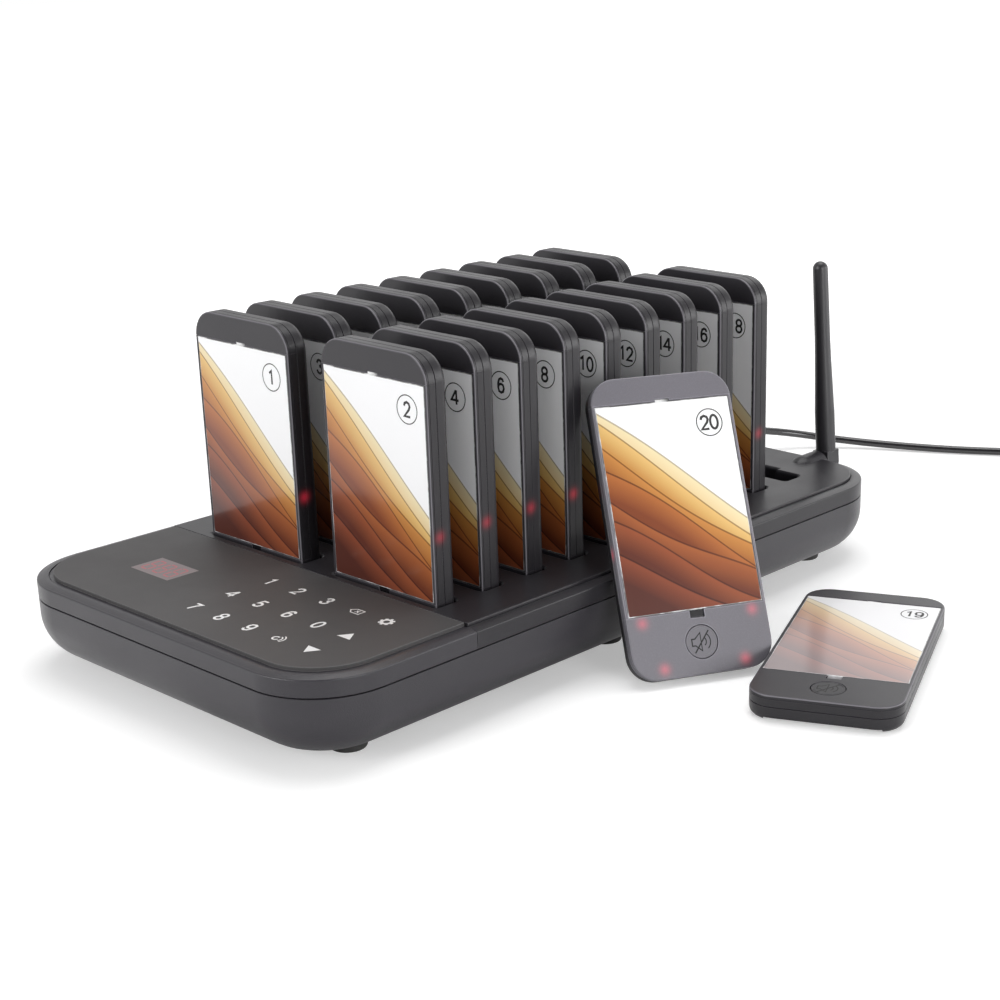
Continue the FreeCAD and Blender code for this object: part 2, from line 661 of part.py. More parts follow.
def power_adapter():
    """Plug-in supply with two flat blades, lying on its side beside the coil."""
    x0 = COIL_X + COIL_MID_R + COIL_BAND / 2 + ADAPTER_GAP
    y0 = COIL_Y - ADAPTER_WIDTH / 2
    case = box(x0, y0, 0, x0 + ADAPTER_LENGTH, y0 + ADAPTER_WIDTH, ADAPTER_HEIGHT)
    long_edges = [edge for edge in case.Edges if edge.BoundBox.XLength > ADAPTER_LENGTH / 2]
    case = case.makeChamfer(ADAPTER_EDGE_CUT, long_edges)
    blades = []
    for side in (-1, 1):
        y = COIL_Y + side * BLADE_SPACING / 2
        blades.append(box(x0 + ADAPTER_LENGTH, y - BLADE_THICKNESS / 2, ADAPTER_HEIGHT / 2 - BLADE_WIDTH / 2,
                          x0 + ADAPTER_LENGTH + BLADE_LENGTH, y + BLADE_THICKNESS / 2,
                          ADAPTER_HEIGHT / 2 + BLADE_WIDTH / 2))
    tail = small_bar(CORD_R, Vector(x0 - ADAPTER_GAP, COIL_Y, COIL_HEIGHT / 2), X_AXIS, ADAPTER_GAP)
    return Part.makeCompound([case.fuse(tail)] + blades)


# ---------------------------------------------------------------- pager
# A pager's own frame: x to its right, z up from its bottom end, y from its face to its back.

def upright(slab):
    """Stands a slab drawn face up on its bottom end, with its face at y = 0."""
    return moved(slab, Placement(Vector(0, 0, 0), Rotation(X_AXIS, 90)))


def pager_plan():
    half = PAGER_WIDTH / 2
    return (-half, 0, half, PAGER_HEIGHT, PAGER_CORNER_R)


def window_recess():
    half = WINDOW_WIDTH / 2 + WINDOW_FIT
    deep = WINDOW_THICKNESS + CARD_THICKNESS
    recess = box(-half, 0, WINDOW_SILL - WINDOW_FIT, half, deep, WINDOW_SILL + WINDOW_HEIGHT + WINDOW_FIT)
    latch = box(-LATCH_WIDTH / 2, 0, WINDOW_SILL - LATCH_HEIGHT, LATCH_WIDTH / 2, deep, WINDOW_SILL)
    return recess.fuse(latch)


def button_well_depth():
    return BUTTON_THICKNESS + BUTTON_TRAVEL + SEAT_GAP


def charging_channel():
    half = CHANNEL_WIDTH / 2
    return box(-half, PAGER_DEPTH - CHANNEL_DEPTH, 0, half, PAGER_DEPTH, CHANNEL_HEIGHT)


def charging_pads():
    back = PAGER_DEPTH - CHANNEL_DEPTH
    pads = []
    for side in (-1, 1):
        x = side * PAD_SPACING / 2
        pads.append(box(x - PAD_WIDTH / 2, back, PAD_Z, x + PAD_WIDTH / 2, back + PAD_THICKNESS,
                        PAD_Z + PAD_HEIGHT))
    return pads


def pager_window():
    half = WINDOW_WIDTH / 2
    return box(-half, 0, WINDOW_SILL, half, WINDOW_THICKNESS, WINDOW_SILL + WINDOW_HEIGHT)


def pager_card():
    half = WINDOW_WIDTH / 2 - CARD_MARGIN
    return box(-half, WINDOW_THICKNESS, WINDOW_SILL + CARD_MARGIN, half,
               WINDOW_THICKNESS + CARD_THICKNESS, WINDOW_SILL + WINDOW_HEIGHT - CARD_MARGIN)


def mute_button():
    return turned([(BUTTON_R, 0), (BUTTON_R, BUTTON_THICKNESS)], COIL_SIDES, Vector(0, 0, BUTTON_Z), Y_AXIS)


def pager_front_shell():
    slab = soft_slab(pager_plan(), PAGER_CORNER_STEPS, -FRONT_SHELL_DEPTH, 0, FRONT_EDGE_R, FRONT_EDGE_STEPS)
    button_well = turned([(BUTTON_R + BUTTON_GAP, 0), (BUTTON_R + BUTTON_GAP, button_well_depth())],
                         COIL_SIDES, Vector(0, 0, BUTTON_Z), Y_AXIS)
    return upright(slab).cut([window_recess(), button_well])


def pager_rear_shell():
    slab = soft_slab(pager_plan(), PAGER_CORNER_STEPS, -FRONT_SHELL_DEPTH, -PAGER_DEPTH,
                     REAR_EDGE_R, PAGER_EDGE_STEPS)
    return upright(slab).cut(charging_channel())


def docked_pager():
    """Plainer pager for the slots: one case with a soft back edge, window, card and pads."""
    slab = soft_slab(pager_plan(), DOCKED_CORNER_STEPS, 0, -PAGER_DEPTH, REAR_EDGE_R, DOCKED_EDGE_STEPS)
    button_well = small_bar(BUTTON_R + BUTTON_GAP, Vector(0, 0, BUTTON_Z), Y_AXIS, button_well_depth())
    case = upright(slab).cut([window_recess(), button_well, charging_channel()])
    return Part.makeCompound([case, pager_window(), pager_card()] + charging_pads())


def docked_mute_button():
    return small_bar(BUTTON_R, Vector(0, 0, BUTTON_Z), Y_AXIS, BUTTON_THICKNESS)


def leaning_placement():
    """Pager 20 stands on its lower rear edge and leans with its left rear edge on the rim."""
    turn = Rotation(Z_AXIS, LEANING_YAW).multiply(Rotation(X_AXIS, LEANING_ANGLE * -1))
    lean = math.radians(LEANING_ANGLE)
    height = REAR_EDGE_R + (PAGER_DEPTH - REAR_EDGE_R) * math.sin(lean) - REAR_EDGE_R * math.cos(lean)
    along_edge = turn.multVec(Z_AXIS)
    across = along_edge.cross(Y_AXIS)
    across.normalize()
    rim = Vector(HALF_WIDTH - RIM_EDGE_R, LEANING_Y, RIM_Z - RIM_EDGE_R)
    edge_axis = turn.multVec(Vector(REAR_EDGE_R - PAGER_WIDTH / 2, PAGER_DEPTH - REAR_EDGE_R, 0))
    wanted = REAR_EDGE_R + RIM_EDGE_R + LEANING_GAP
    if across.x < 0:
        across = across * -1
    rest = (edge_axis + Vector(0, LEANING_Y, height) - rim).dot(across)
    x = (wanted - rest) / across.x
    return Placement(Vector(x, LEANING_Y, height), turn)


def lying_placement():
    """Pager 19 lies on its back, face up, beside the base."""
    turn = Rotation(Z_AXIS, LYING_YAW).multiply(Rotation(X_AXIS, -90))
    return Placement(Vector(HALF_WIDTH + LYING_SIDE_DISTANCE, LYING_Y, PAGER_DEPTH), turn)


def lying_reach_x():
    """How far right of the base's middle the lying pager's outline reaches."""
    yaw = math.radians(LYING_YAW)
    centre = HALF_WIDTH + LYING_SIDE_DISTANCE - PAGER_HEIGHT / 2 * math.sin(yaw)
    half_x = (PAGER_WIDTH / 2 - PAGER_CORNER_R) * math.cos(yaw)
    half_z = (PAGER_HEIGHT / 2 - PAGER_CORNER_R) * math.sin(yaw)
    return centre + half_x + half_z + PAGER_CORNER_R


# ---------------------------------------------------------------- the set

def set_offset():
    """Moves the base's middle so that the whole set is centred on the origin."""
    left = -HALF_WIDTH
    right = lying_reach_x()
    front = -HALF_LENGTH
    rear = ANTENNA_Y + ANTENNA_FOOT_R
    return Vector(-(left + right) / 2, -(front + rear) / 2, 0)


def export(name, shape, offset):
    shape.translated(offset).exportStep("parts/%s.step" % name)


def main():
    os.makedirs("parts", exist_ok=True)
    offset = set_offset()
    print("offset of the base's middle: %.4f %.4f" % (offset.x, offset.y))
    base_pieces = {
        "lower_case": lower_case(),
        "keypad_cover": keypad_cover(),
        "dock_cover": dock_cover(),
        "touch_panel": touch_panel(),
        "display_module": display_module(),
        "keypad_board": keypad_board(),
        "charging_board": charging_board(),
        "rubber_feet": rubber_feet(),
        "case_screws": case_screws(),
        "antenna_barrel": antenna_barrel(),
        "antenna_whip": antenna_whip(),
        "power_socket": power_socket(),
        "power_plug": power_plug(),
        "power_cord": cord_tube(),
        "power_cord_coil": power_cord_coil(),
        "power_adapter": power_adapter(),
    }
    for name, shape in base_pieces.items():
        export(name, shape, offset)
    pager = docked_pager()
    button = docked_mute_button()
    for number, place in slot_places()[:2 * DOCKED_ROWS]:
        seat = place + Vector(0, 0, PAGER_SEAT_Z)
        export("pager_%02d" % number, pager.translated(seat), offset)
        export("pager_%02d_mute_button" % number, button.translated(seat), offset)
    loose_pieces = {
        "front_shell": pager_front_shell(),
        "rear_shell": Part.makeCompound([pager_rear_shell()] + charging_pads()),
        "window": Part.makeCompound([pager_window(), pager_card()]),
        "mute_button": mute_button(),
    }
    for number, placement in ((19, lying_placement()), (20, leaning_placement())):
        for name, shape in loose_pieces.items():
            export("pager_%02d_%s" % (number, name), moved(shape, placement), offset)


main()
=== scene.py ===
import math
import bmesh
import bpy
from mathutils import Matrix, Vector


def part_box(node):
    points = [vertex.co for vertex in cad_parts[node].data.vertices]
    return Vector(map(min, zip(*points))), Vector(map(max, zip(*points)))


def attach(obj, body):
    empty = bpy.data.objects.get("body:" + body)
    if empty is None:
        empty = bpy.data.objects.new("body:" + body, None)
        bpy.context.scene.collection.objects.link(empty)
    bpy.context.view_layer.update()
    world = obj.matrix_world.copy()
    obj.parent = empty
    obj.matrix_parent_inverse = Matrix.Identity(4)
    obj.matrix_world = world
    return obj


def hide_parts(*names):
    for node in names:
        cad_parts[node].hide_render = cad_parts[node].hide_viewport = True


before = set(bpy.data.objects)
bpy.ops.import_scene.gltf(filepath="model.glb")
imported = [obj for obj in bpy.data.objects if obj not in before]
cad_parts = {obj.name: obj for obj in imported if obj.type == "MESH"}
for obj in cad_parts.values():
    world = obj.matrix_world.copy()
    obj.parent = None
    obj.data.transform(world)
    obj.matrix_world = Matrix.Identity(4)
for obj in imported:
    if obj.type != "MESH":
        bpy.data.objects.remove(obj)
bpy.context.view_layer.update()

mm = 0.001
case_low, case_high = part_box("lower_case")
middle = Vector(((case_low.x + case_high.x) / 2, (case_low.y + case_high.y) / 2, 0))


# ---- camera and colour ----
# A long lens at counter height, looking down a little over the keypad's right corner.
# Colours go out as they are written.
camera_turn, camera_dip, camera_roll = 0.7215, 0.3305, -0.0074
look = Vector((-math.sin(camera_turn) * math.cos(camera_dip), math.cos(camera_turn) * math.cos(camera_dip),
               -math.sin(camera_dip)))
level = Vector((math.cos(camera_turn), math.sin(camera_turn), 0))
upwards = level.cross(look)
camera_right = math.cos(camera_roll) * level + math.sin(camera_roll) * upwards
camera_up = math.cos(camera_roll) * upwards - math.sin(camera_roll) * level
bpy.ops.object.camera_add()
camera = bpy.context.object
camera.name = "counter_camera"
camera.data.lens = 66.28
camera.data.shift_x = -0.1443
camera.data.shift_y = 0.0562
camera.data.sensor_width = 36
camera.data.clip_start = 0.01
camera.data.clip_end = 30
camera.matrix_world = (Matrix.Translation(middle + Vector((539.8, -509.6, 272.9)) * mm)
                       @ Matrix((camera_right, camera_up, -look)).transposed().to_4x4())
bpy.context.scene.camera = camera
bpy.context.scene.view_settings.view_transform = "Standard"


# ---- floor and light ----
# A white table top that keeps the set's shadow, and soft lamps round it like a small product studio.
# The surroundings are white where the camera or a shiny surface sees them.
def new_finish(name):
    """A material, its node tree and its Principled shader."""
    finish = bpy.data.materials.new(name)
    finish.use_nodes = True
    return finish, finish.node_tree, finish.node_tree.nodes["Principled BSDF"]


def fill(tree, node, inputs):
    """Gives a node's inputs another node's output or a plain value, and hands the node back."""
    for socket, value in inputs.items():
        if isinstance(value, bpy.types.NodeSocket):
            tree.links.new(value, node.inputs[socket])
        else:
            node.inputs[socket].default_value = value
    return node


def new_node(tree, kind, inputs={}):
    """A new node of a kind, with its inputs filled."""
    return fill(tree, tree.nodes.new("ShaderNode" + kind), inputs)


def math_node(tree, operation, *values):
    """A Math node's result; each value is a socket or a number."""
    node = new_node(tree, "Math", dict(enumerate(values)))
    node.operation = operation
    return node.outputs[0]


def reckon(tree, value, *steps):
    """Takes a value through Math nodes one after another."""
    for operation, *others in steps:
        value = math_node(tree, operation, value, *others)
    return value


def vector_node(tree, operation, *values):
    """A Vector Math node's result; each value is a socket or a plain vector."""
    node = new_node(tree, "VectorMath", dict(enumerate(values)))
    node.operation = operation
    return node.outputs["Vector" if operation in ("MULTIPLY", "NORMALIZE") else "Value"]


def spread(tree, value, from_low, from_high, low, high, clamp=True):
    """A Map Range node's result: takes one stretch of values to another."""
    node = new_node(tree, "MapRange", {"Value": value, "From Min": from_low, "From Max": from_high,
                                       "To Min": low, "To Max": high})
    node.clamp = clamp
    return node.outputs["Result"]


def seen_rays(tree):
    """One where the camera, a reflection or a clear body sees the surface."""
    path = new_node(tree, "LightPath").outputs
    return reckon(tree, path["Is Camera Ray"], ("MAXIMUM", path["Is Glossy Ray"]),
                  ("MAXIMUM", path["Is Transmission Ray"]))


DARK_SIDE = (0.68, -0.73, 0)


def shade_dark_side(tree, direction, strength):
    """Lowers what reflections see of the studio's unlit end, and leaves every other ray as it is."""
    level_way = vector_node(tree, "NORMALIZE", vector_node(tree, "MULTIPLY", direction, (1, 1, 0)))
    toward = vector_node(tree, "DOT_PRODUCT", level_way, DARK_SIDE)
    dimming = spread(tree, toward, 0.55, 0.93, 0.05, 0.92)
    dimming.node.interpolation_type = "SMOOTHSTEP"
    taken = math_node(tree, "MULTIPLY", dimming, new_node(tree, "LightPath").outputs["Is Glossy Ray"])
    return math_node(tree, "MULTIPLY", strength, math_node(tree, "SUBTRACT", 1.0, taken))


bpy.ops.mesh.primitive_grid_add(x_subdivisions=4, y_subdivisions=4, size=12, location=middle)
floor = bpy.context.object
floor.name = "table_top"
floor_finish, tree, shader = new_finish("white_table")
tree.nodes.remove(shader)
spot = new_node(tree, "TexCoord").outputs["Object"]
lift = spread(tree, vector_node(tree, "LENGTH", spot), 0.35, 1.3, 0.36, 1.0)
scaled = math_node(tree, "MULTIPLY", seen_rays(tree), lift)
matte = new_node(tree, "BsdfDiffuse", {"Color": (0.8, 0.8, 0.8, 1)})
glow = new_node(tree, "Emission", {"Strength": shade_dark_side(tree, spot, scaled)})
both = new_node(tree, "AddShader", {0: matte.outputs[0], 1: glow.outputs[0]})
fill(tree, tree.nodes["Material Output"], {"Surface": both.outputs[0]})
floor.data.materials.append(floor_finish)

world = bpy.data.worlds.new("white_studio")
bpy.context.scene.world = world
world.use_nodes = True
tree = world.node_tree
sky = new_node(tree, "TexCoord").outputs["Generated"]
split = new_node(tree, "SeparateXYZ", {0: sky})
overhead = spread(tree, split.outputs["Z"], 0.3, 0.9, 1.0, 0.45)
strength = spread(tree, seen_rays(tree), 0.0, 1.0, 0.3, overhead)
fill(tree, tree.nodes["Background"], {"Color": (1, 1, 1, 1),
                                      "Strength": shade_dark_side(tree, sky, strength)})

lamps = [
    ("lamp_overhead", (-0.1, 0.3, 1.5), 13.5, 1.1),
    ("lamp_front", (-0.3, -1.75, 0.65), 16.5, 0.9),
    ("lamp_right", (1.75, -0.35, 0.42), 13.0, 0.7),
    ("lamp_side", (1.4, 1.3, 0.32), 12.0, 0.9),
    ("lamp_behind", (-0.4, 1.8, 1.1), 4.0, 1.0),
]
for name, place, power, size in lamps:
    bpy.ops.object.light_add(type="AREA", location=middle + Vector(place))
    lamp = bpy.context.object
    lamp.name = name
    lamp.data.energy = power
    lamp.data.size = size
    aim = middle + Vector((0, 0, 0.05)) - lamp.location
    lamp.rotation_euler = aim.to_track_quat("-Z", "Y").to_euler()


# ---- lower case ----
# The tub that the set stands in: black moulded plastic with a big bottom radius, a lip for the
# two covers, seats for the feet and wells for four screws.
BASE_SIZE = Vector((186, 333, 0))
BASE_CORNER = 31
TUB_FOOT_Z, TUB_TOP_Z = 3.6, 29.0
SOCKET_X, SOCKET_Z = -62, 20
ANTENNA_X, ANTENNA_Z = 54.5, 34
Y_AXIS, Z_AXIS = (0, 1, 0), (0, 0, 1)
FOOT_SPOTS = [(x, y) for x in (-70, 70) for y in (-134, 0, 134)]
SCREW_SPOTS = [(-58, -132), (58, -132), (-22, 142.2), (22, 142.2)]
NEAR = 0.05 * mm


def leave_all():
    """Back to object mode with nothing selected."""
    if bpy.context.object and bpy.context.object.mode == "EDIT":
        bpy.ops.object.mode_set(mode="OBJECT")
    bpy.ops.object.select_all(action="DESELECT")


def new_block(name, low, high):
    """A block between two corners in millimetres from the base's middle."""
    low, high = Vector(low) * mm + middle, Vector(high) * mm + middle
    leave_all()
    bpy.ops.mesh.primitive_cube_add(size=1, location=(low + high) / 2)
    block = bpy.context.object
    block.name = name
    block.scale = high - low
    bpy.ops.object.transform_apply(location=True, rotation=True, scale=True)
    return block


def work_on(piece):
    """Makes a piece the only selected one, in object mode."""
    leave_all()
    piece.select_set(True)
    bpy.context.view_layer.objects.active = piece


def pick(piece, kind, test):
    """In edit mode, selects the edges or faces whose middle and direction pass a test."""
    work_on(piece)
    bpy.ops.object.mode_set(mode="EDIT")
    bpy.ops.mesh.select_mode(type=kind)
    bpy.ops.mesh.select_all(action="DESELECT")
    mesh = bmesh.from_edit_mesh(piece.data)
    if kind == "EDGE":
        for edge in mesh.edges:
            a, b = edge.verts[0].co, edge.verts[1].co
            edge.select_set(bool(test((a + b) / 2, (b - a).normalized())))
    else:
        for face in mesh.faces:
            face.select_set(bool(test(face.calc_center_median(), face.normal)))
    mesh.select_flush_mode()
    bmesh.update_edit_mesh(piece.data)


def open_whole(piece):
    """Opens a piece in edit mode with all its faces selected."""
    work_on(piece)
    bpy.ops.object.mode_set(mode="EDIT")
    bpy.ops.mesh.select_mode(type="FACE")
    bpy.ops.mesh.select_all(action="SELECT")


def close_outward():
    """Turns all faces outward and leaves edit mode."""
    bpy.ops.mesh.select_all(action="SELECT")
    bpy.ops.mesh.normals_make_consistent(inside=False)
    bpy.ops.object.mode_set(mode="OBJECT")


def soften(piece, test, radius, steps):
    """Rounds the edges that pass a test."""
    pick(piece, "EDGE", test)
    bpy.ops.mesh.bevel(offset=radius * mm, offset_type="OFFSET", segments=steps, profile=0.5,
                       affect="EDGES", clamp_overlap=False)
    bpy.ops.mesh.select_all(action="SELECT")
    bpy.ops.mesh.remove_doubles(threshold=0.00001)
    work_on(piece)


def runs(axis):
    """A test for edges along an axis, 0 to 2 for X to Z."""
    return lambda at, along: abs(along[axis]) > 0.9


def level_at(z):
    """A test for level edges at a height."""
    return lambda at, along: abs(along.z) < 0.01 and abs(at.z - z * mm) < NEAR


def rounded_base_block(name, z0, z1, inset=0):
    """A block on the base's plan, with its round upright corners."""
    half = BASE_SIZE / 2 - Vector((inset, inset, 0))
    block = new_block(name, (-half.x, -half.y, z0), (half.x, half.y, z1))
    soften(block, runs(2), BASE_CORNER - inset, 20)
    return block


def pick_flat(piece, z, up):
    """Selects the level faces at a height."""
    pick(piece, "FACE", lambda at, facing: facing.z * up > 0.999 and abs(at.z - z * mm) < NEAR)


def draw_up(rise):
    """Extrudes the picked face up or down."""
    bpy.ops.mesh.extrude_region_move(TRANSFORM_OT_translate={"value": (0, 0, rise * mm)})


def step_in(inset, rise):
    """Insets the picked face and draws the inner one up or down."""
    if inset:
        bpy.ops.mesh.inset(thickness=inset * mm, depth=0, use_even_offset=True)
    if rise:
        draw_up(rise)


def on_outline(at):
    """True where a point lies on the base's plan outline."""
    over_x = abs(at.x - middle.x) / mm - (BASE_SIZE.x / 2 - BASE_CORNER)
    over_y = abs(at.y - middle.y) / mm - (BASE_SIZE.y / 2 - BASE_CORNER)
    if over_x > 0 and over_y > 0:
        return math.hypot(over_x, over_y) > BASE_CORNER - 0.4
    return max(over_x, over_y) > BASE_CORNER - 0.4


def soften_rim(piece, z, radius, steps):
    """Rounds the edges that run round the plan outline at a height."""
    level = level_at(z)
    soften(piece, lambda at, along: level(at, along) and on_outline(at), radius, steps)


def join_up(piece, others, operation):
    """Adds or cuts away other bodies and removes them."""
    for other in others:
        cut = piece.modifiers.new("fit", "BOOLEAN")
        cut.operation = operation
        cut.solver = "EXACT"
        cut.object = other
        work_on(piece)
        bpy.ops.object.modifier_apply(modifier=cut.name)
        bpy.data.objects.remove(other)


def turned_bar(name, levels, sides, start, axis):
    """A round piece: a disc drawn out through (radius, distance) levels along an axis."""
    radius, distance = levels[0]
    leave_all()
    bpy.ops.mesh.primitive_circle_add(vertices=sides, radius=radius * mm, fill_type="NGON",
                                      location=(0, 0, distance * mm))
    bar = bpy.context.object
    bar.name = name
    bpy.ops.object.transform_apply(location=True, rotation=True, scale=True)
    open_whole(bar)
    for next_radius, next_distance in levels[1:]:
        draw_up(next_distance - distance)
        grow = next_radius / radius
        bpy.ops.transform.resize(value=(grow, grow, 1), center_override=(0, 0, next_distance * mm))
        radius, distance = next_radius, next_distance
    close_outward()
    bar.data.transform(Matrix.Translation(Vector(start) * mm + middle)
                       @ Vector((0, 0, 1)).rotation_difference(Vector(axis)).to_matrix().to_4x4())
    return bar


def finish_mould(piece, finishes, angle=32):
    """Smooth round stretches, flat flats, and the piece's materials."""
    work_on(piece)
    bpy.ops.object.shade_smooth_by_angle(angle=math.radians(angle))
    flats = piece.modifiers.new("flats", "WEIGHTED_NORMAL")
    flats.keep_sharp = True
    bpy.ops.object.modifier_apply(modifier=flats.name)
    for finish in finishes:
        piece.data.materials.append(finish)


def new_group(name, inputs, outputs):
    """An empty shared effect, with its named inputs' values and its outputs' kinds."""
    group = bpy.data.node_groups.new(name, "ShaderNodeTree")
    for socket, value in inputs.items():
        made = group.interface.new_socket(socket, in_out="INPUT", socket_type="NodeSocketFloat")
        made.default_value = value
    for socket, kind in outputs.items():
        group.interface.new_socket(socket, in_out="OUTPUT", socket_type="NodeSocket" + kind)
    return group, group.nodes.new("NodeGroupInput").outputs, group.nodes.new("NodeGroupOutput")


def group_node(tree, group, inputs):
    """Puts a shared effect into a material, feeds its inputs and gives its outputs."""
    node = tree.nodes.new("ShaderNodeGroup")
    node.node_tree = group
    return fill(tree, node, inputs).outputs


def blend(tree, share, first, second):
    """A colour Mix node's result: the first colour at 0, the second at 1."""
    node = tree.nodes.new("ShaderNodeMix")
    node.data_type = "RGBA"
    first, second = [(*part, 1) if isinstance(part, (tuple, list)) else part for part in (first, second)]
    return fill(tree, node, {"Factor": share, "A": first, "B": second}).outputs["Result"]


# The spark-eroded grain of a moulding tool, with faint flow patches, and an edge mask that lightens every
# edge: partly rubbed wear, partly a painted highlight standing in for light caught on the edge.
moulded_skin, given, end = new_group(
    "moulded_skin", {"Grain Size": 0.5, "Patch Size": 40.0, "Edge Width": 0.0008},
    {"Grain": "Float", "Patch": "Float", "Rub and Shine": "Float"})
spot = new_node(moulded_skin, "TexCoord").outputs["Object"]
for output, size, detail in (("Grain", "Grain Size", 2.0), ("Patch", "Patch Size", 4.0)):
    scale = math_node(moulded_skin, "DIVIDE", 1000.0, given[size])
    noise = new_node(moulded_skin, "TexNoise", {"Vector": spot, "Scale": scale, "Detail": detail,
                                                "Roughness": 0.6})
    fill(moulded_skin, end, {output: noise.outputs["Fac"]})
# Edges are lightened where the Bevel normal turns away from the surface's: partly wear, partly a painted
# highlight.
soft_edge = new_node(moulded_skin, "Bevel", {"Radius": given["Edge Width"]})
soft_edge.samples = 8
agree = vector_node(moulded_skin, "DOT_PRODUCT", soft_edge.outputs["Normal"],
                    new_node(moulded_skin, "NewGeometry").outputs["Normal"])
turned_away = math_node(moulded_skin, "SUBTRACT", 1.0, agree)
fill(moulded_skin, end, {"Rub and Shine": reckon(moulded_skin, turned_away, ("MULTIPLY", 7.0), ("MINIMUM", 1.0))})


def moulded_plastic(name, colour, wear_and_highlight, roughness, grain, grain_size=0.5, specular=0.5, edge=0.0006):
    """Black moulded plastic: grain in its bump, patches in its gloss, and lighter edges that are partly wear
    and partly a painted highlight.
    """
    finish, tree, shader = new_finish(name)
    skin = group_node(tree, moulded_skin, {"Grain Size": grain_size, "Edge Width": edge})
    speckle = reckon(tree, skin["Grain"], ("POWER", 3.0), ("MULTIPLY", 0.5))
    # The lighter colour goes on the grain speckles and on the edge mask, which is a painted highlight as
    # much as wear.
    wear_and_highlight_share = math_node(tree, "ADD", skin["Rub and Shine"], speckle)
    bump = new_node(tree, "Bump", {"Strength": grain, "Distance": 0.0001, "Height": skin["Grain"]})
    fill(tree, shader, {
        "Base Color": blend(tree, wear_and_highlight_share, colour, wear_and_highlight),
        "Roughness": spread(tree, skin["Patch"], 0.3, 0.7, roughness - 0.05, roughness + 0.05),
        "Specular IOR Level": specular,
        "Normal": bump.outputs["Normal"],
    })
    return finish


case_plastic = moulded_plastic("case_plastic", (0.03, 0.0277, 0.0335), (0.05, 0.048, 0.055),
                               0.33, 0.9, 0.5, 0.5, 0.0004)

tub = rounded_base_block("lower_case_tub", TUB_FOOT_Z, TUB_TOP_Z)
soften_rim(tub, TUB_FOOT_Z, 19, 12)
soften_rim(tub, TUB_TOP_Z, 0.15, 1)
pick_flat(tub, TUB_TOP_Z, 1)
step_in(1.2, 2.0)
step_in(1.1, -8.4)
inner_x, inner_y = BASE_SIZE.x / 2 - 2.3, BASE_SIZE.y / 2 - 2.3
for inward, drop in ((0.6, 4.5), (1.9, 4.2), (3.0, 3.5), (3.8, 2.6), (4.3, 1.3)):
    draw_up(-drop)
    bpy.ops.transform.resize(value=(1 - inward / inner_x, 1 - inward / inner_y, 1), center_override=middle)
    inner_x, inner_y = inner_x - inward, inner_y - inward
join_up(tub, [turned_bar("foot_seat", [(8.2, 3.5), (8.2, 6.0)], 40, (x, y, 0), Z_AXIS)
              for x, y in FOOT_SPOTS], "UNION")
join_up(tub, [turned_bar("screw_post", [(5.2, 6.0), (5.2, 12.2)], 32, (x, y, 0), Z_AXIS)
              for x, y in SCREW_SPOTS], "UNION")
wells = [turned_bar("screw_well", [(3.0, 3.0), (3.0, 10.0)], 32, (x, y, 0), Z_AXIS) for x, y in SCREW_SPOTS]
wells.append(turned_bar("socket_hole", [(4.7, 150), (4.7, 170)], 40, (SOCKET_X, 0, SOCKET_Z), Y_AXIS))
wells.append(turned_bar("antenna_hole", [(4.8, 150), (4.8, 170)], 40, (ANTENNA_X, 0, ANTENNA_Z), Y_AXIS))
join_up(tub, wells, "DIFFERENCE")
finish_mould(tub, [case_plastic])
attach(tub, "base")
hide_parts("lower_case")


# ---- rubber feet ----
# Six black rubber buttons pressed into the tub's seats. They are moulded with a soft edge, and
# speckled finely between two shades of black.
def speck(tree, scale, vector=None):
    """Fine noise, in the piece's own coordinates unless others are given."""
    vector = vector or new_node(tree, "TexCoord").outputs["Object"]
    return new_node(tree, "TexNoise", {"Vector": vector, "Scale": scale}).outputs["Fac"]


def speckled_finish(name, scale, dark, light, roughness):
    """A surface whose colour wanders finely between two shades."""
    finish, tree, shader = new_finish(name)
    shade = blend(tree, speck(tree, scale), dark, light)
    fill(tree, shader, {"Base Color": shade, "Roughness": roughness})
    return finish


def join_pieces(name, pieces, place=Matrix.Identity(4)):
    """Joins pieces into one mesh and puts it in its place."""
    work_on(pieces[0])
    for piece in pieces:
        piece.select_set(True)
    bpy.ops.object.join()
    whole = pieces[0]
    whole.name = name
    whole.data.transform(place)
    return whole


rubber = speckled_finish("foot_rubber", 900, (0.018, 0.018, 0.018), (0.05, 0.048, 0.046), 0.75)
foot_levels = [(5.9, 0.0), (6.5, 0.15), (6.75, 0.6), (7.15, 3.3), (7.1, 3.6)]
foot_set = join_pieces("rubber_foot_set",
                       [turned_bar("foot", foot_levels, 48, (x, y, 0), Z_AXIS) for x, y in FOOT_SPOTS])
finish_mould(foot_set, [rubber])
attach(foot_set, "base")
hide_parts("rubber_feet")


# ---- case screws ----
# Four plated steel screws come up through the tub's wells into the covers and hold the case
# together. Only their heads show, from below.
def worn_metal(name, scale, smooth, rough, colour):
    """Plated metal with fine streaks in its gloss."""
    finish, tree, shader = new_finish(name)
    worn = spread(tree, speck(tree, scale), 0.0, 1.0, smooth, rough)
    fill(tree, shader, {"Base Color": (*colour, 1), "Roughness": worn, "Metallic": 1.0})
    return finish


plated = worn_metal("plated_steel", 1400, 0.22, 0.45, (0.55, 0.55, 0.56))


def paint_node(node, finish):
    """Gives a CAD node that keeps its own shape a finish."""
    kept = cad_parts[node]
    kept.data.materials.clear()
    kept.data.materials.append(finish)


paint_node("case_screws", plated)


# ---- covers ----
# Two black mouldings close the tub: the keypad cover in front and the dock cover behind, with a
# butt seam between them and a fine shadow gap above the tub.
COVER_FOOT_Z, RIM_Z, DECK_Z = 29.5, 36.2, 38.1
SEAM_Y = -91.8
deck_plastic = moulded_plastic("deck_plastic", (0.02, 0.0186, 0.022), (0.06, 0.058, 0.065),
                               0.36, 0.3, 0.6, 0.4, 0.0004)


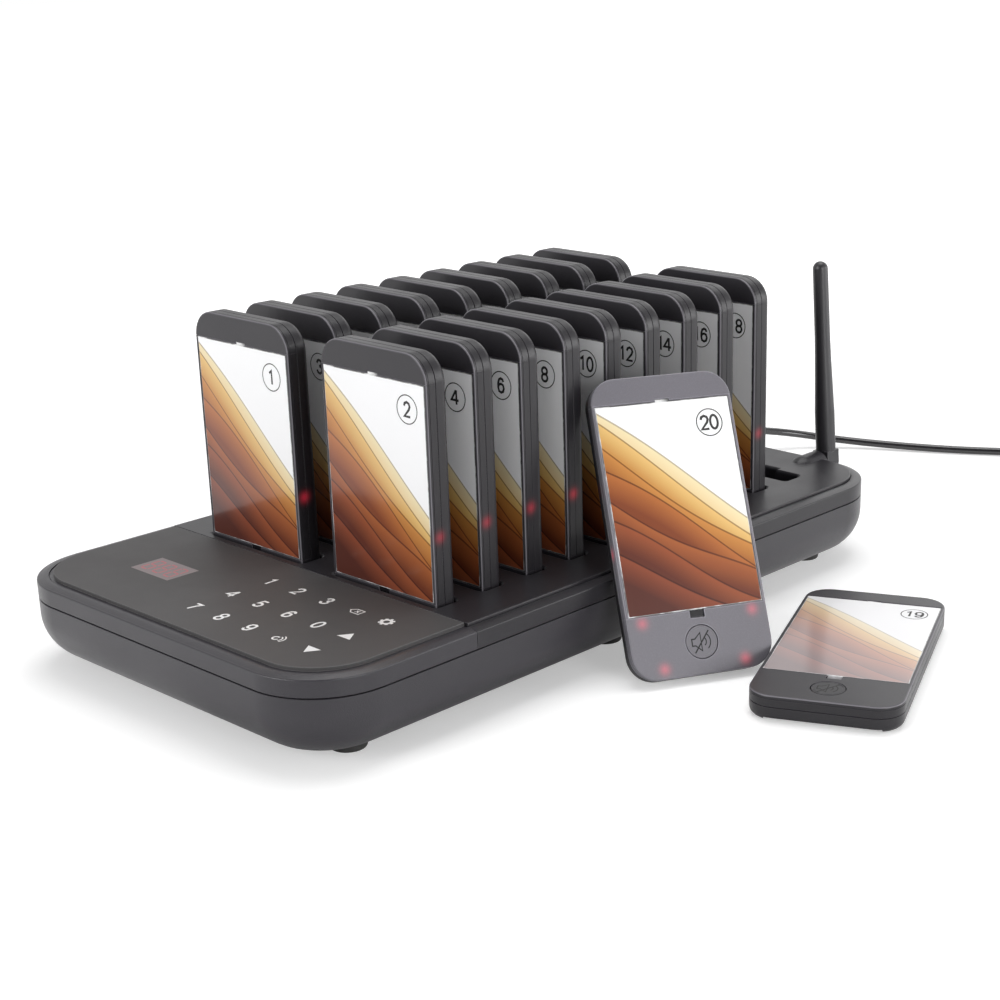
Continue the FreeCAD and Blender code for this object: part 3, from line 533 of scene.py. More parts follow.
def cover_block(name, raised):
    """The covers' common form: wall with a rounded rim, a ledge, a groove and the middle."""
    block = rounded_base_block(name, COVER_FOOT_Z, RIM_Z)
    soften_rim(block, RIM_Z, 0.6, 4)
    soften_rim(block, COVER_FOOT_Z, 0.15, 1)
    pick_flat(block, RIM_Z, 1)
    step_in(0.3, 0)
    step_in(1.9, 0)
    bpy.ops.transform.translate(value=(0, 0, 0.7 * mm))
    step_in(1.7, -0.8)
    step_in(0.4, 0.8 + raised)
    return block


def hollow_out(block):
    """Draws the cover's open underside up to its wall thickness."""
    pick_flat(block, COVER_FOOT_Z, -1)
    step_in(2.2, 5.2)
    work_on(block)


def keep_side(block, y, front):
    """Keeps the part of a cover in front of or behind a plane across it, with a closed end."""
    open_whole(block)
    bpy.ops.mesh.bisect(plane_co=middle + Vector((0, y * mm, 0)), plane_no=(0, 1, 0), use_fill=True,
                        clear_outer=front, clear_inner=not front)
    bpy.ops.object.mode_set(mode="OBJECT")


# ---- keypad cover ----
# The front moulding: a rounded rim round a shallow bed for the touch panel, with an opening for the
# display. It drops over the tub's lip.
keypad_cover = cover_block("keypad_surround", -0.3)
hollow_out(keypad_cover)
keep_side(keypad_cover, SEAM_Y, True)
DISPLAY_X, DISPLAY_Y = -44.5, -126.7
display_hole = new_block("display_hole", (DISPLAY_X - 12.3, DISPLAY_Y - 7.6, 30),
                         (DISPLAY_X + 12.3, DISPLAY_Y + 7.6, 40))
join_up(keypad_cover, [display_hole], "DIFFERENCE")
finish_mould(keypad_cover, [case_plastic])
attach(keypad_cover, "base")
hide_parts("keypad_cover")


# ---- touch panel ----
# A sheet of satin dark polycarbonate over the touch board, printed white from behind; the keys
# are sensed through it and do not move.
panel_finish = moulded_plastic("panel_film", (0.06, 0.0575, 0.0585), (0.15, 0.147, 0.15),
                               0.55, 0.08, 0.35, 0.3)
panel = rounded_base_block("touch_panel_sheet", 36.62, DECK_Z, 6.4)
soften(panel, level_at(DECK_Z), 0.25, 2)
keep_side(panel, SEAM_Y - 0.15, True)
finish_mould(panel, [panel_finish])
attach(panel, "base")
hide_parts("touch_panel")

print_white = speckled_finish("printed_white", 2500, (0.72, 0.72, 0.72), (0.9, 0.9, 0.9), 0.4)

PANEL_TOP = 38.12
PRINT_LAYER = 0.004  # strokes that cross lie this far apart, so that they don't flicker


def flat_shape(points, lift=0):
    """A flat face through points in millimetres, facing up."""
    leave_all()
    bpy.ops.mesh.primitive_circle_add(vertices=len(points), radius=mm, fill_type="NGON")
    shape = bpy.context.object
    for vertex, (x, y) in zip(shape.data.vertices, points):
        vertex.co = (x * mm, y * mm, lift * mm)
    shape.data.update()
    if shape.data.polygons[0].normal.z < 0:
        shape.data.flip_normals()
    return shape


def drawn_line(points, width, closed=False, lift=0):
    """A printed line of even width with mitred corners; a closed one is two strips that meet."""
    count = len(points)
    left, right = [], []
    for i in range(count + closed):
        here = Vector(points[i % count])
        before = Vector(points[(i - 1) % count])
        after = Vector(points[(i + 1) % count])
        if not closed and i == 0:
            before = 2 * here - after
        if not closed and i == count - 1:
            after = 2 * here - before
        onward = (after - here).normalized()
        along = ((here - before).normalized() + onward).normalized()
        reach = width / 2 / max(along.dot(onward), 0.55)
        side = Vector((-along.y, along.x)) * reach
        left.append(here + side)
        right.append(here - side)
    half = count // 2
    stretches = [(0, half + 1), (half, count + 1)] if closed else [(0, count)]
    return [flat_shape(left[a:b] + right[a:b][::-1], lift) for a, b in stretches]


def arc_points(x, y, radius, start, stop, count):
    """Points along an arc, from one angle in degrees to another."""
    turns = [math.radians(start + (stop - start) * i / count) for i in range(count + 1)]
    return [(x + radius * math.cos(turn), y + radius * math.sin(turn)) for turn in turns]


DIGIT_LINES = {
    "0": [arc_points(0, 0, 0.5, 0, 360, 20)],
    "1": [[(-0.2, 0.28), (0.04, 0.48), (0.04, -0.5)]],
    "2": [[(-0.27, 0.22), (-0.2, 0.41), (0, 0.5), (0.2, 0.41), (0.27, 0.22), (0.18, 0.0), (-0.27, -0.48),
           (0.29, -0.48)]],
    "3": [[(-0.26, 0.26), (-0.17, 0.44), (0, 0.5), (0.18, 0.43), (0.25, 0.26), (0.17, 0.09), (-0.03, 0.04)],
          [(0.0, 0.04), (0.2, -0.04), (0.28, -0.23), (0.2, -0.42), (0, -0.5), (-0.19, -0.43),
           (-0.28, -0.24)]],
    "4": [[(0.12, -0.5), (0.12, 0.5)], [(0.1, 0.49), (-0.36, -0.2), (0.33, -0.2)]],
    "5": [[(0.25, 0.48), (-0.17, 0.48), (-0.24, 0.02), (-0.02, 0.12), (0.19, 0.03), (0.28, -0.18),
           (0.2, -0.41), (0, -0.5), (-0.19, -0.44), (-0.28, -0.26)]],
    "6": [[(0.25, 0.28), (0.16, 0.45), (0, 0.5), (-0.18, 0.4), (-0.27, 0.12), (-0.27, -0.16), (-0.2, -0.41),
           (0, -0.5), (0.2, -0.41), (0.28, -0.18), (0.2, 0.05), (0, 0.13)],
          [(0.03, 0.125), (-0.2, 0.05), (-0.26, -0.14)]],
    "7": [[(-0.28, 0.48), (0.28, 0.48), (0.07, 0.12), (-0.06, -0.5)]],
    "8": [arc_points(0, 0.25, 0.25, 0, 360, 16), arc_points(0, -0.24, 0.27, 0, 360, 16)],
}
DIGIT_LINES["9"] = [[(-x, -y) for x, y in line] for line in DIGIT_LINES["6"]]


def figures(text, tall, width):
    """Printed figures, drawn as even lines round the origin."""
    bars = []
    for place, figure in enumerate(text):
        shift = (place - (len(text) - 1) / 2) * 0.72 * tall
        narrow = 0.56 if figure == "0" else 1.0
        for stroke, line in enumerate(DIGIT_LINES[figure]):
            ring = math.dist(line[0], line[-1]) < 0.01
            path = [(x * tall * narrow + shift, y * tall) for x, y in line]
            bars += drawn_line(path[:-1] if ring else path, width, ring, stroke * PRINT_LAYER)
    return bars


KEY_X = [-1.1, 15.4, 31.9, 48.4, 64.9]
KEY_Y = [-109.3, -126.9, -144.3]
legends = []


def print_key(name, marks, column, row):
    """Prints a key's legend at its place on the panel."""
    spot = Matrix.Translation(middle + Vector((KEY_X[column], KEY_Y[row], PANEL_TOP)) * mm)
    legends.append(join_pieces("key_" + name, marks, spot))


for row, keys in enumerate(("123", "4560", "789")):
    for column, key in enumerate(keys):
        print_key(key, figures(key, 5.6, 1.0), column, row)

backspace = drawn_line([(-3.0, 0), (-1.2, 1.75), (2.9, 1.75), (2.9, -1.75), (-1.2, -1.75)], 0.45, True)
backspace += drawn_line([(-0.1, -0.8), (1.6, 0.8)], 0.45)
backspace += drawn_line([(-0.1, 0.8), (1.6, -0.8)], 0.45, lift=PRINT_LAYER)
print_key("backspace", backspace, 3, 0)

cog = drawn_line(arc_points(0, 0, 1.85, 0, 360, 24)[:-1], 1.25, True)
for tooth in range(8):
    angle = math.radians(tooth * 45)
    cog += drawn_line([(reach * math.cos(angle), reach * math.sin(angle)) for reach in (2.3, 3.1)],
                      1.2, lift=PRINT_LAYER)
print_key("cog", cog, 4, 0)
print_key("up", [flat_shape([(-3.4, -2.4), (3.4, -2.4), (0, 2.6)])], 4, 1)
print_key("down", [flat_shape([(-3.4, 2.4), (0, -2.6), (3.4, 2.4)])], 4, 2)

call = drawn_line(arc_points(-1.2, -0.5, 1.3, 60, 350, 12), 0.7)
call += drawn_line(arc_points(-0.6, -0.5, 2.0, -35, 80, 6), 0.5)
call += drawn_line(arc_points(-0.4, -0.4, 3.0, -35, 75, 8), 0.5)
print_key("call", call, 3, 2)

legend_set = join_pieces("panel_legends", legends)
legend_set.data.materials.append(print_white)
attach(legend_set, "base")


# ---- display ----
# A three-digit red display under a smoked patch of the panel, switched on but dim in daylight. The
# module stands on the keypad board and looks up through the cover.
patch_finish = speckled_finish("smoked_patch", 1500, (0.13, 0.094, 0.098), (0.165, 0.122, 0.126), 0.3)
patch = new_block("display_patch", (DISPLAY_X - 12, DISPLAY_Y - 7.3, 38.0),
                  (DISPLAY_X + 12, DISPLAY_Y + 7.3, 38.115))
finish_mould(patch, [patch_finish])
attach(patch, "base")

segment_finish = speckled_finish("lit_segments", 1800, (0.36, 0.085, 0.1), (0.5, 0.1, 0.125), 0.5)
tree = segment_finish.node_tree
shader = tree.nodes["Principled BSDF"]
fill(tree, shader, {"Emission Color": shader.inputs["Base Color"].links[0].from_socket,
                    "Emission Strength": 0.1})
SEGMENTS = [(0, 4.6, 0), (0, 0, 0), (0, -4.6, 0), (-2.1, 2.3, 1), (2.1, 2.3, 1), (-2.1, -2.3, 1),
            (2.1, -2.3, 1)]
SEGMENT_FORM = [(-1, -0.6), (-0.7, -1), (0.7, -1), (1, -0.6), (1, 0.6), (0.7, 1), (-0.7, 1), (-1, 0.6)]
bars = []
for digit in (-7.2, 0, 7.2):
    for x, y, upright in SEGMENTS:
        w, h = (0.33, 1.95) if upright else (1.7, 0.33)
        bars.append(flat_shape([(digit + x + px * w, y + py * h) for px, py in SEGMENT_FORM]))
digits = join_pieces("display_digits", bars,
                     Matrix.Translation(middle + Vector((DISPLAY_X, DISPLAY_Y, 38.13)) * mm))
digits.data.materials.append(segment_finish)
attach(digits, "base")
paint_node("display_module", patch_finish)


# ---- circuit boards ----
# Green glass-fibre boards screwed under the covers. The front one carries the touch keys, and the
# rear one the forty spring contacts.
board_finish, tree, shader = new_finish("board_laminate")
weave = new_node(tree, "TexBrick", {
    "Vector": new_node(tree, "TexCoord").outputs["Object"], "Scale": 700,
    "Color1": (0.02, 0.1, 0.045, 1), "Color2": (0.03, 0.13, 0.06, 1), "Mortar": (0.015, 0.08, 0.035, 1)})
fill(tree, shader, {"Base Color": weave.outputs["Color"], "Roughness": 0.35})
paint_node("keypad_board", board_finish)
paint_node("charging_board", board_finish)


# ---- dock cover ----
# The rear moulding: a raised semi-gloss deck with twenty charging wells in two columns, each with a
# flared mouth and a notch for the contacts, and a half-round fairing over the antenna's barrel.
COLUMN_X, FIRST_ROW_Y, SLOT_PITCH = 38.5, -87.5, 23.4
WELL_FLOOR_Z, WELL_STRAIGHT = 13.7, 23.0
slot_spots = [(side * COLUMN_X, FIRST_ROW_Y + row * SLOT_PITCH) for row in range(10) for side in (-1, 1)]
dock = cover_block("dock_cover_deck", 1.2)
soften(dock, level_at(DECK_Z), 0.45, 3)
hollow_out(dock)
keep_side(dock, SEAM_Y + 0.3, False)
join_up(dock, [join_pieces("well_blocks", [new_block("well_block", (x - 30.55, y - 1.85, 12.3),
                                                     (x + 30.55, y + 14.75, 35.2)) for x, y in slot_spots])],
        "UNION")
fairing_levels = [(0.8, 146.75), (2.4, 147.2), (4.2, 148.4), (5.6, 150.4), (6.3, 152.4), (6.4, 153.8),
                  (6.4, 164.9), (5.9, 165.4)]
fairing = turned_bar("antenna_fairing", fairing_levels, 48, (ANTENNA_X, 0, ANTENNA_Z), Y_AXIS)
join_up(dock, [fairing], "UNION")


def slot_cutter(x, y):
    """The body of one slot: straight sides, round back corners, a notch and a flared mouth."""
    outline = [(px + 2 * math.sin(a), py - 2 * math.cos(a))
               for px, py, a in ((27.15, 1.55, math.radians(turn)) for turn in (0, 30, 60, 90))]
    outline += [(px + 2.6 * math.cos(a), py + 2.6 * math.sin(a))
                for px, py, a in ((26.55, 8.35, math.radians(turn)) for turn in (0, 30, 60, 90))]
    outline += [(15, 10.95), (15, 13.35)]
    outline += [(-px, py) for px, py in reversed(outline)]
    cutter = flat_shape(outline)
    open_whole(cutter)
    draw_up(WELL_STRAIGHT)
    for rise, spread_out in ((0.7, 0.35), (0.5, 0.5), (0.35, 0.6), (1.0, 0.4)):
        draw_up(rise)
        bpy.ops.transform.resize(value=(1 + spread_out / 29, 1 + spread_out / 7, 1),
                                 center_override=(0, 6.45 * mm, 0))
    close_outward()
    cutter.data.transform(Matrix.Translation(middle + Vector((x, y, WELL_FLOOR_Z)) * mm))
    return cutter


join_up(dock, [join_pieces("slot_bodies", [slot_cutter(x, y) for x, y in slot_spots])], "DIFFERENCE")
hole = turned_bar("antenna_hole", [(4.8, 151), (4.8, 170)], 48, (ANTENNA_X, 0, ANTENNA_Z), Y_AXIS)
join_up(dock, [hole], "DIFFERENCE")
finish_mould(dock, [deck_plastic])
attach(dock, "base")
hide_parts("dock_cover")


# ---- antenna ----
# A black whip on a knuckle: the barrel swivels in the rear wall and the whip folds on its tongue.
# Both are moulded, the whip smooth and softly shiny.
whip_plastic = moulded_plastic("whip_plastic", (0.024, 0.023, 0.0265), (0.07, 0.068, 0.075), 0.36, 0.15)
ANTENNA_LEAN = 3.8
X_AXIS = (1, 0, 0)
KNUCKLE_ROUND = 4.39
antenna_pin = middle + Vector((ANTENNA_X, 171.8, ANTENNA_Z)) * mm


def turn_about(axis, degrees):
    return Matrix.Rotation(math.radians(degrees), 4, axis)


antenna_place = Matrix.Translation(antenna_pin) @ turn_about("Y", -ANTENNA_LEAN)


def place_local(piece, place):
    """Moves a piece made round the base's middle to its own place."""
    piece.data.transform(place @ Matrix.Translation(-middle))
    return piece


barrel_levels = [(4.2, -20.3), (4.5, -20.0), (4.5, -5.1), (4.2, -4.8)]
barrel = turned_bar("antenna_swivel_barrel", barrel_levels, 48, (0, 0, 0), Y_AXIS)
tongue = new_block("tongue", (-1.9, -5.4, -4.4), (1.9, 4.4, 4.4))
soften(tongue, lambda at, along: abs(along.x) > 0.9 and at.y > middle.y, KNUCKLE_ROUND, 10)
join_up(barrel, [tongue], "UNION")
join_up(barrel, [turned_bar("pin_hole", [(1.25, -6), (1.25, 6)], 24, (0, 0, 0), X_AXIS)], "DIFFERENCE")
place_local(barrel, antenna_place)
finish_mould(barrel, [whip_plastic])
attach(barrel, "antenna_barrel")
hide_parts("antenna_barrel")

rod_levels = [(4.3, 5.0), (4.6, 5.3), (4.6, 24.0), (4.45, 28.0), (3.75, 50.0), (3.6, 58.0), (3.5, 90.1)]
rod_levels += [(3.5 * math.cos(math.radians(a)), 90.1 + 3.5 * math.sin(math.radians(a)))
               for a in (15, 30, 45, 60, 75, 86)]
whip = turned_bar("antenna_whip_rod", rod_levels, 48, (0, 0, 0), Z_AXIS)
cheeks = [new_block("cheek", (x0, -4.4, -4.4), (x1, 4.4, 5.6)) for x0, x1 in ((-4.2, -2.2), (2.2, 4.2))]
for cheek in cheeks:
    soften(cheek, lambda at, along: abs(along.x) > 0.9 and at.z < 0, KNUCKLE_ROUND, 10)
pin = turned_bar("hinge_pin", [(1.1, -4.1), (1.1, 4.1)], 24, (0, 0, 0), X_AXIS)
join_up(whip, cheeks + [pin], "UNION")
place_local(whip, antenna_place)
finish_mould(whip, [whip_plastic])
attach(whip, "antenna_whip")
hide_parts("antenna_whip")


# ---- power socket and plug ----
# A round low-voltage jack in the tub's rear wall, and a straight moulded plug with a ribbed relief
# that pushes into it.
soft_black = moulded_plastic("cable_moulding", (0.018, 0.018, 0.019), (0.06, 0.06, 0.065), 0.5, 0.3)
jack_levels = [(4.5, 155.0), (4.5, 166.3), (4.3, 166.5), (2.9, 166.5), (2.9, 157.0)]
jack = turned_bar("power_jack", jack_levels, 40, (SOCKET_X, 0, SOCKET_Z), Y_AXIS)
jack_body = new_block("jack_body", (-66.5, 146.5, 15.5), (-57.5, 155.2, 24.5))
join_up(jack, [jack_body], "UNION")
finish_mould(jack, [soft_black])
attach(jack, "base")
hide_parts("power_socket")

plug_levels = [(4.4, 0), (4.8, 0.5), (4.8, 19.6), (4.3, 20.6)]
for rib in range(4):
    plug_levels += [(3.7 - rib * 0.22, 21.2 + rib * 2.6), (3.7 - rib * 0.22, 22.6 + rib * 2.6),
                    (2.6, 22.8 + rib * 2.6), (2.6, 23.6 + rib * 2.6)]
plug_levels.append((2.55, 32.0))
plug = turned_bar("plug_grip", plug_levels, 40, (SOCKET_X, 166.7, SOCKET_Z), Y_AXIS)
tip_levels = [(2.7, 9.2), (2.7, 0.3), (2.6, 0), (1.1, 0), (1.1, 8.8)]
tip = turned_bar("plug_tip", tip_levels, 32, (SOCKET_X, 157.7, SOCKET_Z), Y_AXIS)
finish_mould(tip, [plated])
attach(tip, "base")
finish_mould(plug, [soft_black])
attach(plug, "base")
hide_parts("power_plug")


# ---- power cord ----
# A thin black lead of about one and a half metres: it leaves the plug, sinks to the table in a long
# curve behind the dock, and its spare length is wound in a neat coil beside the set.
route = [(-62, 198.7, 20), (-61, 232, 17), (-51, 272, 10), (-22, 299, 3.4), (22, 320.5, 2.1), (56, 341, 2.1)]
COIL_X, COIL_Y = 110, 348
COIL_TURNS, LAYERS, POINTS_PER_TURN = 9.25, 4, 16
turns_per_layer = COIL_TURNS / LAYERS
for point in range(int(COIL_TURNS * POINTS_PER_TURN) + 1):
    wound = point / POINTS_PER_TURN
    layer = min(int(wound / turns_per_layer), LAYERS - 1)
    part = wound - layer * turns_per_layer
    inward = part if layer % 2 == 0 else turns_per_layer - part
    radius = 26.2 - 4.1 * inward
    angle = math.radians(135 - 360 * wound)
    height = 2.1 + 4.0 * max(0, layer - 1 + min(part / 0.15, 1))
    route.append((COIL_X + radius * math.cos(angle), COIL_Y + radius * math.sin(angle), height))
route += [(136.5, 358.5, 12.5), (143.5, 350.5, 9.0), (150, 348, 6.5), (158, 348, 6.0), (168, 348, 6.0)]
cord_curve = bpy.data.curves.new("power_lead", "CURVE")
cord_curve.dimensions = "3D"
line = cord_curve.splines.new("NURBS")
line.points.add(len(route) - 1)
for point, at in zip(line.points, route):
    point.co = (*(middle + Vector(at) * mm), 1)
line.order_u = 3
line.use_endpoint_u = True
line.resolution_u = 6
cord_curve.bevel_depth = 2.0 * mm
cord_curve.bevel_resolution = 3
cord = bpy.data.objects.new("power_lead", cord_curve)
bpy.context.scene.collection.objects.link(cord)
cord_skin = moulded_plastic("cord_skin", (0.018, 0.017, 0.019), (0.04, 0.04, 0.042), 0.22, 0.05, 0.5, 0.8)
cord_curve.materials.append(cord_skin)

adapter = new_block("adapter_case", (160, 329, 0), (222, 367, 30))
soften(adapter, runs(0), 3.5, 5)
soften(adapter, lambda at, along: (abs(along.x) < 0.1
                                   and abs(abs(at.x - middle.x - 191 * mm) - 31 * mm) < 2 * NEAR), 2.0, 4)
tail = turned_bar("adapter_tail", [(2.4, 149.5), (2.7, 150.3), (3.4, 161.0)], 32, (0, 348, 6), X_AXIS)
join_up(adapter, [tail], "UNION")
blades = [new_block("adapter_blade", (221, y - 0.75, 11.85), (238, y + 0.75, 18.15))
          for y in (341.65, 354.35)]
for blade in blades:
    soften(blade, lambda at, along: at.x > middle.x + 237.5 * mm, 0.4, 2)
blade_pair = join_pieces("adapter_blades", blades)
finish_mould(blade_pair, [plated])
finish_mould(adapter, [soft_black])
for piece in (adapter, blade_pair, cord):
    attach(piece, "base")
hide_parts("power_adapter")
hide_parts("power_cord", "power_cord_coil")


# ---- pager mouldings ----
# Each pager is a front and a rear shell of black plastic that meet in a fine seam, with a clear
# window over a printed card, a round mute button and two charging pads in a channel behind.
# One set is modelled standing at the origin, face forward, and every pager is a copy of it.
PAGER_WIDE, PAGER_TALL, PAGER_DEEP, SHELL_SPLIT = 57.4, 117.0, 10.5, 4.6
SILL, WINDOW_WIDE, WINDOW_TALL = 24.9, 55.0, 81.5
WINDOW_TOP = SILL + WINDOW_TALL
BUTTON_Z = 12.4
POCKET_RADIUS, POCKET_DEPTH = 6.7, 3.3


def pager_slab(name, y0, y1, inset=0):
    """A slab of the pager's outline between two depths, round at its four corners."""
    slab = new_block(name, (inset - PAGER_WIDE / 2, y0, inset),
                     (PAGER_WIDE / 2 - inset, y1, PAGER_TALL - inset))
    soften(slab, runs(1), 10.5 - inset, 12)
    return slab


def at_depth(y):
    """A test for edges at a depth behind the pager's face."""
    return lambda at, along: abs(along.y) < 0.01 and abs(at.y - middle.y - y * mm) < NEAR


front_shell = pager_slab("pager_front", 0, SHELL_SPLIT - 0.05)
soften(front_shell, at_depth(0), 0.7, 3)
soften(front_shell, at_depth(SHELL_SPLIT - 0.05), 0.18, 1)
window_cut = new_block("window_cut", (-27.6, -1, SILL - 0.1), (27.6, 1.6, WINDOW_TOP + 0.1))
latch_cut = new_block("latch_cut", (-3.0, -1, SILL - 3.2), (3.0, 1.5, SILL + 0.5))
clip_cut = new_block("clip_cut", (-3.0, -1, WINDOW_TOP - 0.5), (3.0, 1.5, WINDOW_TOP + 1.0))
button_cut = turned_bar("button_cut", [(POCKET_RADIUS, -1), (POCKET_RADIUS, POCKET_DEPTH)], 40,
                        (0, 0, BUTTON_Z), Y_AXIS)
join_up(front_shell, [window_cut, latch_cut, clip_cut, button_cut], "DIFFERENCE")


def seam_frame(z):
    """A thin frame round the pager that cuts a fine line across its front shell."""
    ring = new_block("seam_frame", (-32, -3, z - 0.11), (32, SHELL_SPLIT, z + 0.11))
    core = new_block("seam_core", (-28.45, 0.25, z - 1), (28.45, 9, z + 1))
    join_up(ring, [core], "DIFFERENCE")
    return ring


edge_groove = new_block("edge_groove", (-32, 1.25, -4), (32, 1.5, PAGER_TALL + 4))
join_up(edge_groove, [pager_slab("groove_core", 0, 3, 0.22)], "DIFFERENCE")
join_up(front_shell, [seam_frame(SILL - 0.3), seam_frame(WINDOW_TOP + 0.3), edge_groove], "DIFFERENCE")

rear_shell = pager_slab("pager_rear", SHELL_SPLIT + 0.05, PAGER_DEEP)
soften(rear_shell, at_depth(PAGER_DEEP), 3.0, 7)
soften(rear_shell, at_depth(SHELL_SPLIT + 0.05), 0.18, 1)
channel_cut = new_block("channel_cut", (-22, PAGER_DEEP - 1.6, -2), (22, PAGER_DEEP + 1, 20))
soften(channel_cut, lambda at, along: abs(along.y) > 0.9 and at.z > 0.01, 2.5, 4)
join_up(rear_shell, [channel_cut], "DIFFERENCE")

pads = [new_block("pad", (x - 2, PAGER_DEEP - 1.7, 6), (x + 2, PAGER_DEEP - 1.2, 15)) for x in (-8, 8)]
for pad in pads:
    soften(pad, runs(1), 0.8, 3)
pad_pair = join_pieces("pager_pads", pads)

window = new_block("pager_window", (-27.5, 0.12, SILL), (27.5, 1.2, WINDOW_TOP))
soften(window, at_depth(0.12), 0.3, 2)
tab = new_block("window_tab", (-2.6, 0.7, SILL - 2.7), (2.6, 1.2, SILL + 0.2))
clip = new_block("window_clip", (-2.7, 0.35, WINDOW_TOP - 0.2), (2.7, 1.2, WINDOW_TOP + 0.8))
join_up(window, [tab, clip], "UNION")
card = new_block("pager_card", (-27, 1.25, SILL + 0.5), (27, 1.6, WINDOW_TOP - 0.5))

button_levels = [(6.4, 2.4), (6.4, 0.25), (6.15, 0.0), (5.75, 0.0), (5.7, 0.12), (5.35, 0.12), (5.3, 0.0)]
button = turned_bar("pager_mute", button_levels, 48, (0, 0, BUTTON_Z), Y_AXIS)
# The mute icon is drawn as flush lines, later coloured near-black as the painted shade of an engraving.
speaker = drawn_line([(-4.0, -1.3), (-2.7, -1.3), (-0.3, -3.5), (-0.3, 3.5), (-2.7, 1.3), (-4.0, 1.3)],
                     0.5, True)
speaker += drawn_line(arc_points(-0.2, 0, 2.0, -50, 50, 5), 0.45)
speaker += drawn_line(arc_points(-0.2, 0, 3.7, -50, 50, 7), 0.45)
speaker += drawn_line([(-3.3, -4.1), (3.3, 4.1)], 0.55, lift=PRINT_LAYER)
stand_up = Matrix.Translation(Vector((0, -0.02, BUTTON_Z)) * mm) @ turn_about("X", 90)
mute_mark = join_pieces("mute_mark", speaker, Matrix.Translation(middle) @ stand_up)


def place_vector(tree):
    """Where a point lies in the pager's own frame."""
    spot = tree.nodes.new("ShaderNodeAttribute")
    spot.attribute_name = "place"
    return spot.outputs["Vector"]


# The light-emitting diodes shine dimly through the plastic near the corners and the sides.
diode_glow, given, end = new_group("diode_glow", {"Reach": 0.0023, "Corners": 0.0, "Sides": 1.0},
                                   {"Glow": "Float"})
spot = place_vector(diode_glow)
total = None
for x, y, z, part in ((22.5, 0, 22.2, "Corners"), (-22.5, 0, 22.2, "Corners"), (16.5, 0, 3.9, "Corners"),
                      (-16.5, 0, 3.9, "Corners"), (28.7, 3.5, 49.9, "Sides"), (-28.7, 3.5, 49.9, "Sides")):
    away = vector_node(diode_glow, "DISTANCE", spot, Vector((x, y, z)) * mm)
    near = math_node(diode_glow, "DIVIDE", away, given["Reach"])
    falling = math_node(diode_glow, "POWER", 0.3, math_node(diode_glow, "MULTIPLY", near, near))
    fading = math_node(diode_glow, "MULTIPLY", falling, given[part])
    total = fading if total is None else math_node(diode_glow, "ADD", total, fading)
fill(diode_glow, end, {"Glow": total})


def lit_plastic(name, colour, edge, corners, sides):
    """Pager plastic with a painted highlight along its front edge and the red glow of its diodes."""
    finish = moulded_plastic(name, colour, [2.2 * part for part in colour], 0.34, 0.35, 0.4, 0.35)
    tree = finish.node_tree
    shader = tree.nodes["Principled BSDF"]
    glow = group_node(tree, diode_glow, {"Corners": corners, "Sides": sides})["Glow"]
    axes = new_node(tree, "SeparateXYZ", {0: place_vector(tree)})
    # A painted highlight: a thin band on the front edge's round, 0.3 mm behind the face, is coloured toward
    # the lighter edge colour.
    off_edge = reckon(tree, axes.outputs["Y"], ("SUBTRACT", 0.3 * mm), ("ABSOLUTE",))
    painted_front_edge_highlight = spread(tree, off_edge, 0.0, 0.32 * mm, 0.9, 0.0)
    under = shader.inputs["Base Color"].links[0].from_socket
    fill(tree, shader, {
        "Base Color": blend(tree, painted_front_edge_highlight, under, edge),
        "Emission Color": blend(tree, glow, (0, 0, 0), (0.42, 0.012, 0.03)),
        "Emission Strength": 0.8,
    })
    return finish


# The colour of the painted highlight on the pagers' front edges.
painted_edge_shine = (0.22, 0.21, 0.235)
# Pager 20 gets a lighter grey plastic and button, with a lighter edge colour too: a painted sheen standing
# in for the light its tilted face catches, not a different plastic.
black, calling_sheen_grey = (0.019, 0.0178, 0.0205), (0.145, 0.139, 0.158)
docked_plastic = lit_plastic("docked_pager_plastic", (0.017, 0.0157, 0.0185), painted_edge_shine, 0.0, 0.7)
lying_plastic = lit_plastic("lying_pager_plastic", black, painted_edge_shine, 0.0, 0.0)
calling_sheen_plastic = lit_plastic("calling_pager_sheen_plastic", calling_sheen_grey, (0.26, 0.25, 0.28), 1.0, 0.7)
button_plastic = moulded_plastic("mute_button_plastic", black, (0.05, 0.048, 0.055), 0.42, 0.2)
calling_sheen_button = moulded_plastic("calling_button_sheen_plastic", calling_sheen_grey, (0.2, 0.19, 0.21), 0.42, 0.2)
# The mute icon's flush lines are near-black: painted shade standing for the engraving's grooves.
engraving_shade = moulded_plastic("engraving_painted_shade", (0.008, 0.008, 0.008), (0.012, 0.012, 0.012), 0.6, 0.1)

gilt = worn_metal("gilt_pad", 1200, 0.2, 0.5, (0.8, 0.6, 0.25))

# The card: rolling dune bands under a white sky, printed and seen through a glossy clear window.
dune_card, given, end = new_group("dune_card", {"Across": 0.5, "Up": 0.5}, {"Colour": "Color"})
dunes = [
    # middle height, lean, swell, waves, shift, crest colour, foot colour
    (0.69, -0.55, 0.020, 4.1, 0.4, (0.86, 0.74, 0.47), (0.78, 0.56, 0.26)),
    (0.62, -0.56, 0.028, 3.6, 1.5, (0.78, 0.52, 0.19), (0.55, 0.25, 0.06)),
    (0.53, -0.52, 0.034, 3.7, 2.6, (0.58, 0.25, 0.06), (0.32, 0.095, 0.022)),
    (0.44, -0.50, 0.030, 4.3, 0.2, (0.46, 0.15, 0.038), (0.21, 0.05, 0.016)),
    (0.34, -0.44, 0.036, 3.9, 3.4, (0.38, 0.11, 0.032), (0.15, 0.034, 0.014)),
    (0.23, -0.40, 0.034, 4.4, 1.1, (0.31, 0.08, 0.028), (0.11, 0.024, 0.012)),
    (0.11, -0.34, 0.030, 4.0, 2.2, (0.25, 0.06, 0.025), (0.085, 0.019, 0.011)),
]
colour = (0.95, 0.95, 0.96)
